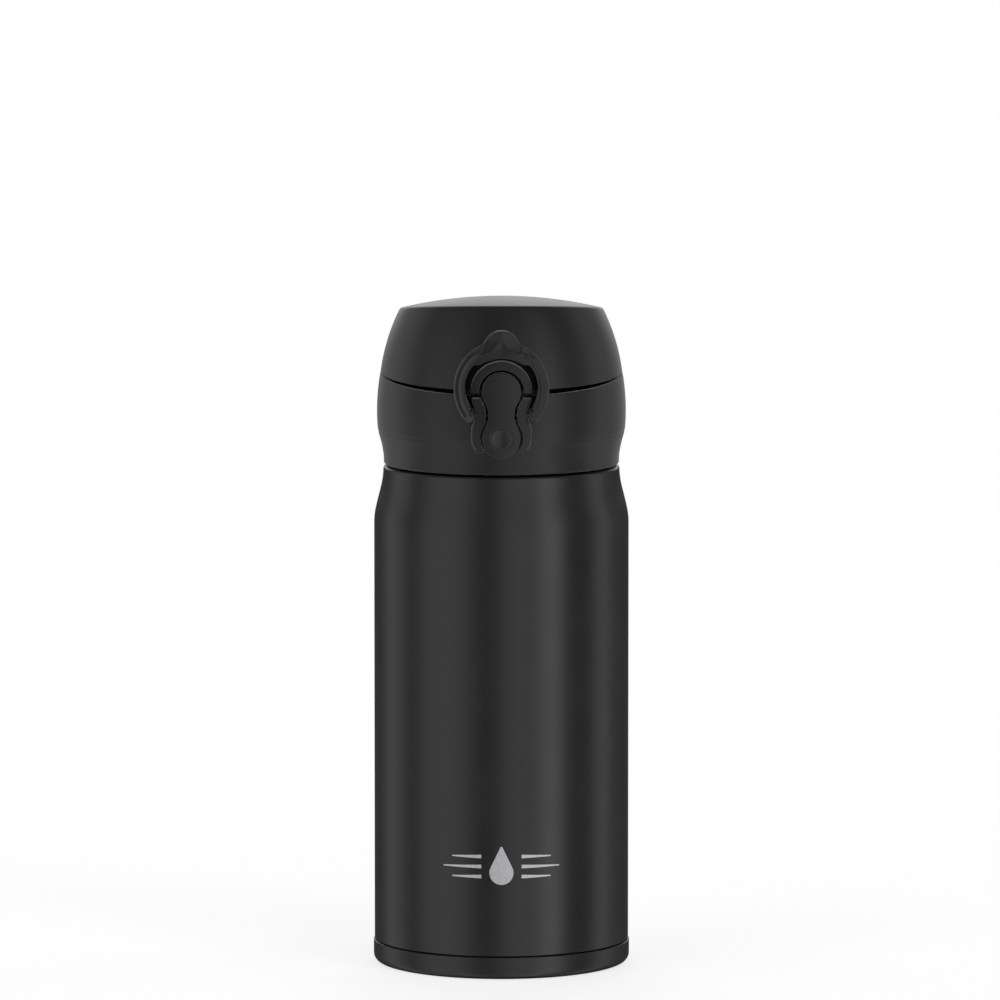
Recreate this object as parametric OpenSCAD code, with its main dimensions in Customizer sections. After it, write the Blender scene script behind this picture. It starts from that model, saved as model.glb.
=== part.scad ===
// Insulated drinking flask: steel vacuum body, screw-on cap, flip lid on a
// rear hinge, press button and fold-down lock ring at the front.
// Millimetres. Z is up, the table is Z = 0, the front is towards -Y.

/* [Overall size] */
// Outside diameter of the painted steel body
body_d = 66; // [54:0.5:80]
// Height of the steel body, from the table to its shoulder edge
body_h = 129.8; // [100:0.1:180]

/* [Base cover] */
// Height of the base cover
base_h = 5.9; // [4.5:0.1:12]
// How far the base cover stands proud of the body
base_lip = 0.25; // [0.1:0.05:0.6]
// Radius of the rounded lower edge
base_round = 2.1; // [0.8:0.1:3]
// Wall and floor thickness of the base cover
base_wall = 0.9; // [0.6:0.05:1.4]

/* [Steel body] */
// Sheet thickness of the outer shell
outer_sheet = 0.6; // [0.4:0.05:0.9]
// Sheet thickness of the inner vessel
inner_sheet = 0.5; // [0.3:0.05:0.8]
// Vacuum gap between the two shells
vacuum_gap = 2.3; // [1.5:0.1:4]
// Height of the shoulder that draws the body in
shoulder_h = 14.8; // [10:0.1:24]
// How far the shoulder draws in
shoulder_in = 2.4; // [1.5:0.1:4]
// Rounding of the shoulder's upper edge
shoulder_round = 0.9; // [0.5:0.1:1.4]
// Height of the threaded neck above the shoulder
neck_h = 13.8; // [12.5:0.1:15]
// How far the neck stands in from the body
neck_in = 8.6; // [8:0.1:10]
// Width of the neck's folded lip, from the mouth to the neck's outside
lip_w = 4.4; // [3.5:0.1:5.5]

/* [Screw thread] */
// Rise of the cap in one turn
thread_lead = 8; // [6:0.5:10]
// Number of thread starts
thread_starts = 2; // [1:1:3]
// Turns that each ridge runs
thread_turns = 0.72; // [0.4:0.02:0.9]
// Height of a ridge above its wall
ridge_out = 1.3; // [0.8:0.1:1.6]

/* [Cap collar] */
// Gap between the shoulder and the collar
collar_gap = 0.5; // [0.3:0.05:1]
// Height of the crease between the flared foot and the barrel
crease_h = 8.8; // [6:0.1:10]
// Mean height of the line where lid and collar part
split_h = 24.25; // [22:0.05:27]
// Slope of that line, high at the hinge
split_tilt = 4.19; // [2:0.05:7]
// Wall thickness of the moulded cap and lid
moulded_wall = 1.8; // [1.4:0.1:2.4]

/* [Lid] */
// Height of the lid's rim above the shoulder edge
lid_h = 40.7; // [37:0.1:46]
// Slope of the lid's top, high at the front
lid_tilt = 6.6; // [3:0.1:9]
// Radius of the domed top
dome_r = 110.7; // [80:0.5:160]
// Rounding between the dome and the wall
rim_round = 1.8; // [1:0.1:3]
// Opening angle of the lid
lid_open = 130; // [90:1:130]

/* [Latch] */
// Radius of the button's head
head_r = 5.05; // [4.4:0.05:5.2]
// Radius of the button's thumb end
thumb_r = 4.95; // [4.4:0.05:5.2]
// Half width of the button's waist
waist_w = 3.37; // [3:0.01:3.6]
// Outside radius of the arch and of the cheeks round the button
arch_r = 7.85; // [7.6:0.05:8.2]
// Gap all round the button
button_gap = 0.45; // [0.4:0.05:0.6]
// How far the latch stands out from the body's side
latch_out = 1.5; // [1.3:0.05:1.8]

/* [Lock ring] */
// Outside radius of the lock ring
ring_r = 12.2; // [11.6:0.1:13]
// Width of its band
ring_band = 3; // [2.4:0.1:3.2]
// Depth of its band, front to back
ring_depth = 2; // [1.6:0.1:2.6]

/* [Hinge] */
// Radius of the hinge pin
hinge_pin_r = 1.1; // [0.9:0.05:1.3]
// Half width of the whole hinge
hinge_half = 9.2; // [8:0.1:10]

/* [Hidden] */

$fn = 96;
arc_steps = 6;
wall_steps = 12;
big = 80;
snug = 0.1;
running = 0.05;
clear = 0.3;

body_r = body_d / 2;
base_r = body_r + base_lip;

// Steel body
spigot_r = base_r - base_wall - snug;
spigot_z = 2.6;
step_h = 0.5;
shoulder_z = body_h - shoulder_h;
top_r = body_r - shoulder_in;
edge_r = top_r - shoulder_round;
edge_z = body_h - shoulder_round;
neck_r = body_r - neck_in;
neck_z = body_h + neck_h;
mouth_r = neck_r - lip_w;
vessel_out = body_r - outer_sheet - vacuum_gap;
vessel_in = vessel_out - inner_sheet;
vessel_floor = 8;
vessel_round = 7;
vessel_neck_z = body_h - 6;
vessel_shoulder_z = body_h - 20;
foil_t = 0.15;
foil_gap = 0.1;
foil_low = vessel_floor + vessel_round + 2;
foil_high = vessel_shoulder_z - 2;
getter_r = 4.5;
getter_t = 1;
getter_x = 12;
plate_z = 3.2;
plate_t = 0.7;
plate_flange = 2;
plate_r = spigot_r - outer_sheet - running;
evac_r = 1.2;
seal_bead_r = 2.4;
seal_bead_t = 0.7;
base_groove_r = 20;
base_groove_w = 1.5;
base_groove_d = 0.4;

// Screw thread
ridge_low_z = body_h + 3;
ridge_root = 0.9;
ridge_crest = 0.45;
ridge_bury = 0.2;
ridge_drop = 1.5;
ridge_steps = 30;
run_out = 0.3;

// Cap core, held inside the collar
skirt_in = neck_r + 1.9;
skirt_wall = 1.7;
skirt_out = skirt_in + skirt_wall;
skirt_z = body_h + 1.4;
deck_low = neck_z + 0.6;
deck_t = 2.2;
deck_top = deck_low + deck_t;
plug_r = mouth_r - 1.6;
plug_wall = 2;
plug_in = plug_r - plug_wall;
plug_z = body_h + 3.8;
groove_low = plug_z + 1.4;
groove_high = groove_low + 3;
groove_r = plug_r - 1.4;
seal_play = 0.2;
seal_fin = 0.9;
seal_waist = 0.6;

// Collar
foot_r = body_r - 2.6;
foot_round = 0.6;
foot_z = body_h + collar_gap;
flare_z = body_h + 1.7;
crease_z = body_h + crease_h;
crease_r = body_r - 1.15;
flare_power = 1.6;
barrel_r = body_r - 0.85;
barrel_z = body_h + 14.2;
barrel_arc = 57;
collar_bore = skirt_out + 0.6;
barrel_bore = barrel_r - moulded_wall - 0.05;
core_low = crease_z + 0.9;
ledge_t = 1.3;
deck_r = barrel_bore - snug;
split_z = body_h + split_h;
split_gap_back = 0.3;
lid_lift = 0.15;
front_slope = 1.3;

// Lid
lid_wall_r = body_r - 1.36;
lid_wall_z = body_h + 17.7;
lid_wall_arc = 51;
lid_top_z = body_h + lid_h;
rim_y = 1;
rim_r = lid_r(lid_top_z);
dome_rise = dome_r - sqrt(dome_r * dome_r - rim_r * rim_r);
dome_slope = asin(rim_r / dome_r);
wall_slope = 25;
rim_end = 36;
lid_form_h = 14;
lid_form_low = 26;
lid_low_z = body_h + 16;
lid_high_z = body_h + 50;

// Mouthpiece under the lid
spout_r = plug_in + 0.8;
spout_in = spout_r - moulded_wall;
spigot_in = plug_in - 1.4;
spigot_low = deck_low - 2;
spout_flange_r = spout_r + 4.8;
spout_flange_t = 2;
spout_floor = deck_top + 3.6;
spout_floor_t = 1.2;
spout_rim_z = deck_top + 14.6;
spout_flare = 0.7;
spout_rim_round = 0.9;
gasket_in = spout_r + 0.1;
gasket_w = 2.1;
gasket_t = 0.9;
gasket_play = 0.15;
drink_r = 4.5;
drink_y = 9;
vent_r = 1.1;
vent_y = 10.5;

// Lid liner and lid seal
liner_z = spout_rim_z + 2;
liner_t = 1.4;
liner_r = lid_r(liner_z + liner_t) - moulded_wall - 0.5;
liner_rim_h = 3.5;
liner_rim_w = 1.2;
boss_r = spout_in - 3;
boss_wall = 1.4;
lid_seal_r = spout_in - 2;
lid_seal_low = spout_floor + spout_floor_t + clear;
lid_seal_t = 3.1;
lid_seal_bead_w = 1.6;
lid_seal_disc = 1.7;
boss_low = lid_seal_low + lid_seal_t;

// Hinge
hinge_y = body_r - 2.7;
hinge_z = body_h + 26.5;
ear_r = 2.7;
ear_in = 5.6;
knuckle_r = 2.6;
knuckle_in = 2.7;
knuckle_out = ear_in - clear;
hinge_sweep = ear_r + 0.6;
relief_r = knuckle_r + 0.35;
ear_back = 1.3;
ear_drop = 9;
spring_turns = 4;
spring_wire = 0.3;
spring_coil_r = 1.75;
spring_half = 1.9;
spring_leg = 1.1;
wire_sides = 8;
coil_steps = 16;

// Latch
face_y = body_r + latch_out;
head_z = body_h + 22.5;
thumb_z = body_h + 10.4;
arch_in = head_r + 0.55;
arch_end_z = body_h + 21.9;
arch_root = body_r - 3.4;
cheek_z = body_h + 11.2;
cheek_top_z = body_h + 20.85;
cheek_low_z = body_h + 6.4;
cheek_waist = 6.65;
cheek_face = face_y + 0.1;
cheek_thumb_r = arch_r + 0.05;
slope_top_z = body_h + 13.2;
slope_low_z = body_h + 5.3;
slope_in = 3;
pocket_y = body_r - 3.7;
backing_y = body_r - 4.35;
backing_half = 6.5;
button_pin_r = 0.75;
button_pin_half = 4.6;
button_y = body_r - 0.7;
button_z = body_h + 16.3;
button_back = body_r - 2;
button_low_back = body_r - 2.2;
button_head_back = body_r - 0.6;
button_mid_back = body_r - 1.1;
claw_half = 1.9;
claw_y = body_r - 1.05;
claw_z = body_h + 23.8;
claw_h = 1.2;
slot_half = 2.4;
slot_z = body_h + 23.3;
slot_h = 2.3;
dimple_r = 2.45;
dimple_ball = 5;
dimple_d = 0.55;
coil_r = 1.4;
coil_wire = 0.2;
coil_turns = 3;
coil_z = body_h + 10.7;

// Lock ring
ring_z = body_h + 23.4;
ring_back = face_y + 0.5;
ring_front = ring_back + ring_depth;
ring_crown_r = 8.5;
ring_pivot_y = body_r + 0.2;
ring_pivot_z = button_z;
ring_eye_r = 1.75;
ring_eye_tip_r = 0.8;
ring_swing_r = 5;
ring_low_z = ring_pivot_z - ring_eye_r;
stud_r = 0.9;
stud_in = 4.95;
arm_in = cheek_waist + clear;
tab_root = 5.1;
tab_root_z = body_h + 34;
tab_mid = 3.5;
tab_mid_z = body_h + 35.7;
tab_top = 2.06;
tab_top_z = body_h + 38.3;
tab_flare = 0.9;
groove_mid = 10.7;
groove_half = 0.35;
groove_depth = 0.35;

function smooth(t) = t * t * (3 - 2 * t);
function arc(c, r, a0, a1) =
    [for (i = [0:arc_steps]) let (a = a0 + (a1 - a0) * i / arc_steps) c + r * [cos(a), sin(a)]];
function shoulder(t, inset) =
    [body_r - inset - shoulder_in * smooth(t), shoulder_z + t * (edge_z - shoulder_z)];
function flare(t) =
    [foot_r + (crease_r - foot_r) * pow(t, flare_power), flare_z + t * (crease_z - flare_z)];
function barrel(z) = barrel_r - barrel_arc + sqrt(pow(barrel_arc, 2) - pow(z - barrel_z, 2));
function lid_r(z) = lid_wall_r - lid_wall_arc + sqrt(pow(lid_wall_arc, 2) - pow(z - lid_wall_z, 2));
function dome_z(r, ball) = dome_rise - dome_r + sqrt(ball * ball - r * r);
function vessel_shoulder(t, r) =
    [r - (vessel_in - mouth_r) * smooth(t), vessel_shoulder_z + t * (vessel_neck_z - vessel_shoulder_z)];

module along_x(x0, x1, r, y, z) {
    translate([x0, y, z])
        rotate([0, 90, 0])
            cylinder(r = r, h = x1 - x0);
}

module both_sides() {
    children();
    mirror([1, 0, 0])
        children();
}

// A front-view outline, drawn in X and Z, pushed out from y_in to y_out at the front
module front_block(y_in, y_out) {
    translate([0, -y_in, 0])
        rotate([90, 0, 0])
            linear_extrude(height = y_out - y_in)
                children();
}

// A side-view outline, drawn in Y and Z, pushed out from x0 to x1
module side_block(x0, x1) {
    translate([x0, 0, 0])
        rotate([90, 0, 90])
            linear_extrude(height = x1 - x0)
                children();
}

module above_plane(z, tilt) {
    translate([0, 0, z])
        rotate([tilt, 0, 0])
            translate([-big, -big, 0])
                cube([2 * big, 2 * big, big]);
}

module below_plane(z, tilt) {
    translate([0, 0, z])
        rotate([tilt, 0, 0])
            translate([-big, -big, -big])
                cube([2 * big, 2 * big, big]);
}

function ridge_height(i) = min(1, run_out + i * 0.25, run_out + (ridge_steps - i) * 0.25);
function ridge_point(i, r, z, turn) =
    let (a = turn + 360 * thread_turns * i / ridge_steps)
    [r * cos(a), r * sin(a), ridge_low_z + thread_lead * thread_turns * i / ridge_steps + z];
function ridge_section(i, r_root, r_crest, drop, turn) =
    let (tip = r_root + (r_crest - r_root) * ridge_height(i))
    [ridge_point(i, r_root, -ridge_root - drop, turn), ridge_point(i, tip, -ridge_crest - drop, turn),
     ridge_point(i, tip, ridge_crest - drop, turn), ridge_point(i, r_root, ridge_root - drop, turn)];

// One thread ridge, a trapezium swept along a helix
module ridge(r_root, r_crest, drop, turn) {
    points = [for (i = [0:ridge_steps]) each ridge_section(i, r_root, r_crest, drop, turn)];
    sides = [for (i = [0:ridge_steps - 1]) for (j = [0:3])
        each [[4 * i + j, 4 * i + (j + 1) % 4, 4 * i + 4 + j],
              [4 * i + (j + 1) % 4, 4 * i + 4 + (j + 1) % 4, 4 * i + 4 + j]]];
    last = 4 * ridge_steps;
    ends = [[0, 2, 1], [0, 3, 2], [last, last + 1, last + 2], [last, last + 2, last + 3]];
    faces = concat(sides, ends);
    polyhedron(points = points, faces = r_crest < r_root ? [for (f = faces) [f[0], f[2], f[1]]] : faces);
}

// A round wire wound along +Z from z = 0
module coil(r, wire, turns, length) {
    steps = coil_steps * turns;
    points = [for (i = [0:steps]) for (j = [0:wire_sides - 1])
        let (a = 360 * i / coil_steps, b = 360 * j / wire_sides)
        [(r + wire * cos(b)) * cos(a), (r + wire * cos(b)) * sin(a),
         wire + (length - 2 * wire) * i / steps + wire * sin(b)]];
    sides = [for (i = [0:steps - 1]) for (j = [0:wire_sides - 1])
        let (k = (j + 1) % wire_sides, p = i * wire_sides, q = p + wire_sides)
        each [[p + j, p + k, q + j], [p + k, q + k, q + j]]];
    start = [for (j = [0:wire_sides - 1]) wire_sides - 1 - j];
    finish = [for (j = [0:wire_sides - 1]) steps * wire_sides + j];
    polyhedron(points = points, faces = concat(sides, [start, finish]));
}

module outer_shell() {
    color([0.07, 0.07, 0.075])
        union() {
            rotate_extrude()
                polygon(concat(
                    [[spigot_r, spigot_z], [spigot_r, base_h], [body_r, base_h + step_h]],
                    [for (i = [0:wall_steps]) shoulder(i / wall_steps, 0)],
                    arc([edge_r, edge_z], shoulder_round, 15, 90),
                    [[neck_r, body_h], [neck_r, neck_z - inner_sheet],
                     [neck_r - outer_sheet, neck_z - inner_sheet],
                     [neck_r - outer_sheet, body_h - outer_sheet], [edge_r, body_h - outer_sheet]],
                    [for (i = [wall_steps:-1:0]) shoulder(i / wall_steps, outer_sheet)],
                    [[body_r - outer_sheet, base_h + step_h + outer_sheet],
                     [spigot_r - outer_sheet, base_h + outer_sheet],
                     [spigot_r - outer_sheet, spigot_z]]));
            for (k = [0:thread_starts - 1])
                ridge(neck_r - ridge_bury, neck_r + ridge_out, 0, 360 * k / thread_starts);
        }
}

module inner_vessel() {
    color([0.72, 0.72, 0.74])
        rotate_extrude()
            polygon(concat(
                [[0, vessel_floor]],
                arc([vessel_out - vessel_round, vessel_floor + vessel_round], vessel_round, -90, 0),
                [for (i = [0:wall_steps]) vessel_shoulder(i / wall_steps, vessel_out)],
                [[mouth_r + inner_sheet, neck_z - inner_sheet], [neck_r, neck_z - inner_sheet],
                 [neck_r, neck_z], [mouth_r, neck_z]],
                [for (i = [wall_steps:-1:0]) vessel_shoulder(i / wall_steps, vessel_in)],
                arc([vessel_out - vessel_round, vessel_floor + vessel_round],
                    vessel_round - inner_sheet, 0, -90),
                [[0, vessel_floor + inner_sheet]]));
}

module foil_wrap() {
    color([0.78, 0.5, 0.36])
        difference() {
            translate([0, 0, foil_low])
                cylinder(r = vessel_out + foil_gap + foil_t, h = foil_high - foil_low);
            translate([0, 0, foil_low - 1])
                cylinder(r = vessel_out + foil_gap, h = foil_high - foil_low + 2);
        }
}

module getter() {
    color([0.45, 0.45, 0.47])
        translate([getter_x, 0, vessel_floor - getter_t])
            cylinder(r = getter_r, h = getter_t);
}

module bottom_plate() {
    color([0.66, 0.66, 0.68])
        rotate_extrude()
            polygon([[evac_r, plate_z], [plate_r, plate_z], [plate_r, plate_z + plate_flange],
                     [plate_r - plate_t, plate_z + plate_flange], [plate_r - plate_t, plate_z + plate_t],
                     [evac_r, plate_z + plate_t]]);
}

module vacuum_seal() {
    color([0.5, 0.42, 0.3])
        rotate_extrude()
            polygon([[0, plate_z - seal_bead_t], [seal_bead_r / 2, plate_z - seal_bead_t],
                     [seal_bead_r, plate_z], [evac_r - running, plate_z],
                     [evac_r - running, plate_z + plate_t], [0, plate_z + plate_t]]);
}

module base_cover() {
    color([0.05, 0.05, 0.055])
        rotate_extrude()
            polygon(concat(
                [[0, 0], [base_groove_r, 0], [base_groove_r, base_groove_d],
                 [base_groove_r + base_groove_w, base_groove_d], [base_groove_r + base_groove_w, 0]],
                arc([base_r - base_round, base_round], base_round, -90, 0),
                [[base_r, base_h - snug], [base_r - snug, base_h], [base_r - base_wall, base_h],
                 [base_r - base_wall, base_round]],
                arc([base_r - base_round, base_round], base_round - base_wall, 0, -90),
                [[0, base_wall]]));
}

module stopper_seal() {
    low = groove_low + seal_play;
    high = groove_high - seal_play;
    out = mouth_r - clear;
    color([0.8, 0.8, 0.78])
        rotate_extrude()
            polygon([[groove_r + running, low], [out - seal_waist, low], [out, low + seal_fin / 2],
                     [out, low + seal_fin], [out - seal_waist, low + seal_fin],
                     [out - seal_waist, high - seal_fin], [out, high - seal_fin],
                     [out, high - seal_fin / 2], [out - seal_waist, high],
                     [groove_r + running, high]]);
}

// Outline of the button in X and Z, grown by g all round
module button_outline(g) {
    mid = (head_z + thumb_z) / 2;
    half = (head_z - thumb_z) / 2;
    side = (head_r * head_r - waist_w * waist_w - half * half) / (2 * (waist_w - head_r));
    join_x = (waist_w + side) * head_r / (head_r + side);
    join_h = half * side / (head_r + side);
    translate([0, head_z])
        circle(r = head_r + g);
    translate([0, thumb_z])
        circle(r = thumb_r + g);
    difference() {
        translate([-join_x, mid - join_h])
            square([2 * join_x, 2 * join_h]);
        for (s = [-1, 1])
            translate([s * (waist_w + side), mid])
                circle(r = side - g);
    }
}

// Outline of the two cheeks and the waist between them, grown by g all round
module cheek_outline(g) {
    mid = (head_z + cheek_z) / 2;
    half = (head_z - cheek_z) / 2;
    side = (arch_r * arch_r - cheek_waist * cheek_waist - half * half) / (2 * (cheek_waist - arch_r));
    join_x = (cheek_waist + side) * arch_r / (arch_r + side);
    join_h = half * side / (arch_r + side);
    translate([0, head_z])
        circle(r = arch_r + g);
    translate([0, cheek_z])
        circle(r = cheek_thumb_r + g);
    difference() {
        translate([-join_x, mid - join_h])
            square([2 * join_x, 2 * join_h]);
        for (s = [-1, 1])
            translate([s * (cheek_waist + side), mid])
                circle(r = side - g);
    }
}

module latch_slope(face) {
    side_block(-big, big)
        polygon([[-face - 1, slope_top_z], [-face, slope_top_z],
                 [-face + slope_in, slope_low_z], [-face + 1.38 * slope_in, slope_low_z - 3],
                 [-face - 1, slope_low_z - 3]]);
}

module cheeks() {
    difference() {
        front_block(pocket_y, cheek_face)
            intersection() {
                cheek_outline(0);
                translate([-big, cheek_low_z])
                    square([2 * big, cheek_top_z - cheek_low_z]);
            }
        latch_slope(cheek_face);
    }
}

module hinge_ears() {
    both_sides()
        difference() {
            union() {
                along_x(ear_in, hinge_half, ear_r, hinge_y, hinge_z);
                translate([ear_in, hinge_y - ear_r, hinge_z - ear_drop])
                    cube([hinge_half - ear_in, ear_r + ear_back, ear_drop]);
            }
            along_x(ear_in - 1, hinge_half + 1, hinge_pin_r + running / 2, hinge_y, hinge_z);
        }
}

module collar_shell() {
    color([0.045, 0.045, 0.05])
        union() {
            difference() {
                union() {
                    rotate_extrude()
                        polygon(concat(
                            [[collar_bore, foot_z], [foot_r - foot_round, foot_z],
                             [foot_r, foot_z + foot_round]],
                            [for (i = [0:wall_steps]) flare(i / wall_steps)],
                            [for (i = [1:wall_steps])
                                let (z = crease_z + 1 + (split_z + 6 - crease_z) * i / wall_steps)
                                [barrel(z), z]],
                            [[barrel_bore, split_z + 7], [barrel_bore, deck_low],
                             [collar_bore, deck_low], [collar_bore, deck_low - ledge_t],
                             [barrel_bore, deck_low - ledge_t], [barrel_bore, core_low],
                             [collar_bore, core_low]]));
                    translate([-backing_half, -pocket_y - clear / 2, foot_z + 1])
                        cube([2 * backing_half, pocket_y + clear / 2 - backing_y, split_z - foot_z]);
                }
                above_plane(split_z - split_gap_back / 2, split_tilt);
                above_plane(split_z - split_gap_back, split_tilt + front_slope);
                front_block(pocket_y, face_y + 5)
                    button_outline(button_gap);
                along_x(-ear_in, ear_in, relief_r, hinge_y, hinge_z);
                along_x(-hinge_half, hinge_half, hinge_pin_r + running / 2, hinge_y, hinge_z);
                both_sides()
                    along_x(stud_in - 0.05, arm_in + 3, stud_r + running, -ring_pivot_y, ring_pivot_z);
                along_x(-button_pin_half, button_pin_half, button_pin_r + running / 2, -button_y, button_z);
            }
            difference() {
                cheeks();
                front_block(pocket_y - 1, face_y + 5)
                    button_outline(button_gap);
                both_sides()
                    along_x(stud_in - 0.05, arm_in + 3, stud_r + running, -ring_pivot_y, ring_pivot_z);
                along_x(-button_pin_half, button_pin_half, button_pin_r + running / 2, -button_y, button_z);
            }
            hinge_ears();
        }
}

module cap_core() {
    color([0.1, 0.1, 0.105])
        union() {
            difference() {
                rotate_extrude()
                    polygon([[plug_in, plug_z], [plug_r, plug_z], [plug_r, groove_low],
                             [groove_r, groove_low], [groove_r, groove_high], [plug_r, groove_high],
                             [plug_r, deck_low], [skirt_in, deck_low], [skirt_in, skirt_z],
                             [skirt_out, skirt_z], [skirt_out, deck_low], [deck_r, deck_low],
                             [deck_r, deck_top], [plug_in, deck_top]]);
                translate([-backing_half - snug, -body_r, deck_low - 0.5])
                    cube([2 * backing_half + 2 * snug, body_r - backing_y + snug, deck_t + 1]);
            }
            for (k = [0:thread_starts - 1])
                ridge(skirt_in + ridge_bury, skirt_in - ridge_out, ridge_drop, 360 * k / thread_starts);
        }
}

module mouthpiece() {
    color([0.09, 0.09, 0.095])
        difference() {
            rotate_extrude()
                polygon([[spigot_in, spigot_low], [plug_in - snug, spigot_low], [plug_in - snug, deck_top],
                         [gasket_in, deck_top], [gasket_in, deck_top + gasket_t + snug],
                         [gasket_in + gasket_w + gasket_play * 2, deck_top + gasket_t + snug],
                         [gasket_in + gasket_w + gasket_play * 2, deck_top],
                         [spout_flange_r, deck_top], [spout_flange_r, deck_top + spout_flange_t - 0.5],
                         [spout_flange_r - 0.5, deck_top + spout_flange_t],
                         [spout_r, deck_top + spout_flange_t],
                         [spout_r, spout_rim_z - 4], [spout_r + spout_flare, spout_rim_z - spout_rim_round],
                         [spout_r + spout_flare - 0.4, spout_rim_z - 0.2], [spout_r, spout_rim_z],
                         [spout_in + 0.5, spout_rim_z - 0.2], [spout_in, spout_rim_z - spout_rim_round],
                         [spout_in, spout_floor + spout_floor_t], [0, spout_floor + spout_floor_t],
                         [0, spout_floor], [spigot_in, spout_floor]]);
            translate([0, -drink_y, spout_floor - 1])
                cylinder(r = drink_r, h = spout_floor_t + 2);
            translate([0, vent_y, spout_floor - 1])
                cylinder(r = vent_r, h = spout_floor_t + 2);
        }
}

module spout_seal() {
    color([0.8, 0.8, 0.78])
        rotate_extrude()
            translate([gasket_in + gasket_play, deck_top])
                square([gasket_w, gasket_t]);
}

module hinge_pin() {
    color([0.7, 0.7, 0.72])
        along_x(-hinge_half + snug, hinge_half - snug, hinge_pin_r, hinge_y, hinge_z);
}

module hinge_spring() {
    color([0.75, 0.75, 0.77])
        union() {
            translate([-spring_half, hinge_y, hinge_z])
                rotate([0, 90, 0])
                    coil(spring_coil_r, spring_wire, spring_turns, 2 * spring_half);
            translate([-spring_half + spring_wire, hinge_y, hinge_z - spring_coil_r - spring_leg])
                cylinder(r = spring_wire, h = spring_leg);
            translate([spring_half - spring_wire, hinge_y, hinge_z - spring_coil_r - spring_leg])
                cylinder(r = spring_wire, h = spring_leg);
        }
}

module button_pin() {
    color([0.7, 0.7, 0.72])
        along_x(-button_pin_half + running, button_pin_half - running, button_pin_r, -button_y, button_z);
}

module button_spring() {
    color([0.75, 0.75, 0.77])
        translate([0, -pocket_y, coil_z])
            rotate([90, 0, 0])
                coil(coil_r, coil_wire, coil_turns, button_mid_back - pocket_y - running);
}

// The lid's filled form: a waisted wall cut off by a tilted, rounded dome
module lid_form() {
    fillet_x = rim_r - rim_round * (cos(dome_slope) - sin(wall_slope)) / cos(wall_slope + dome_slope);
    fillet_z = -rim_round * (cos(wall_slope) - sin(dome_slope)) / cos(wall_slope + dome_slope);
    end = [fillet_x, fillet_z] + rim_round * [cos(rim_end), sin(rim_end)];
    intersection() {
        rotate_extrude()
            polygon(concat(
                [[0, lid_low_z]],
                [for (i = [0:2 * wall_steps])
                    let (z = lid_low_z + (lid_high_z - lid_low_z) * i / (2 * wall_steps)) [lid_r(z), z]],
                [[0, lid_high_z]]));
        translate([0, rim_y, lid_top_z])
            rotate([-lid_tilt, 0, 0])
                rotate_extrude()
                    polygon(concat(
                        [[0, -lid_form_low], [end[0] + lid_form_h, -lid_form_low],
                         [end[0] + lid_form_h * tan(rim_end), end[1] - lid_form_h]],
                        arc([fillet_x, fillet_z], rim_round, rim_end, 90 - dome_slope),
                        [for (i = [wall_steps:-1:0])
                            let (r = (fillet_x - 0.5) * i / wall_steps) [r, dome_z(r, dome_r)]]));
    }
}

module lid_hollow() {
    intersection() {
        rotate_extrude()
            polygon(concat(
                [[0, lid_low_z - 1]],
                [for (i = [0:wall_steps])
                    let (z = lid_low_z - 1 + (lid_high_z - lid_low_z) * i / wall_steps)
                    [lid_r(z) - moulded_wall, z]],
                [[0, lid_high_z - 1]]));
        translate([0, rim_y, lid_top_z])
            rotate([-lid_tilt, 0, 0])
                rotate_extrude()
                    polygon(concat(
                        [[0, -big / 2], [body_r + 5, -big / 2]],
                        [for (i = [wall_steps:-1:0])
                            let (r = (body_r + 5) * i / wall_steps) [r, dome_z(r, dome_r - moulded_wall)]]));
    }
}

module arch() {
    front_block(arch_root, face_y)
        difference() {
            translate([0, head_z])
                circle(r = arch_r);
            translate([0, head_z])
                circle(r = arch_in);
            translate([-big, arch_end_z - big])
                square([2 * big, big]);
        }
}

module lid_knuckles() {
    both_sides()
        difference() {
            union() {
                along_x(knuckle_in, knuckle_out, knuckle_r, hinge_y, hinge_z);
                side_block(knuckle_in, knuckle_out)
                    translate([hinge_y, hinge_z])
                        polygon([[-2.5, 0], [0.6, 2.4], [-0.6, 4.2], [-2.4, 6.6], [-3.4, 6.6]]);
            }
            along_x(knuckle_in - 1, knuckle_out + 1, hinge_pin_r + running, hinge_y, hinge_z);
        }
}

module lid_cover() {
    color([0.05, 0.05, 0.055])
        union() {
            difference() {
                union() {
                    difference() {
                        lid_form();
                        below_plane(split_z + lid_lift, split_tilt);
                    }
                    arch();
                }
                lid_hollow();
                along_x(-hinge_half - clear, hinge_half + clear, hinge_sweep, hinge_y, hinge_z);
                translate([-slot_half, -body_r, slot_z])
                    cube([2 * slot_half, 2 * moulded_wall + 2, slot_h]);
            }
            lid_knuckles();
        }
}

module lid_liner() {
    color([0.1, 0.1, 0.105])
        rotate_extrude()
            polygon([[0, boss_low], [boss_r, boss_low], [boss_r, liner_z], [liner_r - liner_rim_w, liner_z],
                     [liner_r - liner_rim_w, liner_z - liner_rim_h], [liner_r, liner_z - liner_rim_h],
                     [liner_r, liner_z + liner_t], [boss_r - boss_wall, liner_z + liner_t],
                     [boss_r - boss_wall, boss_low + boss_wall], [0, boss_low + boss_wall]]);
}

module lid_seal() {
    color([0.8, 0.8, 0.78])
        rotate_extrude()
            polygon([[0, lid_seal_low + lid_seal_disc],
                     [lid_seal_r - lid_seal_bead_w, lid_seal_low + lid_seal_disc],
                     [lid_seal_r - lid_seal_bead_w, lid_seal_low], [lid_seal_r, lid_seal_low],
                     [lid_seal_r, boss_low], [0, boss_low]]);
}

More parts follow.
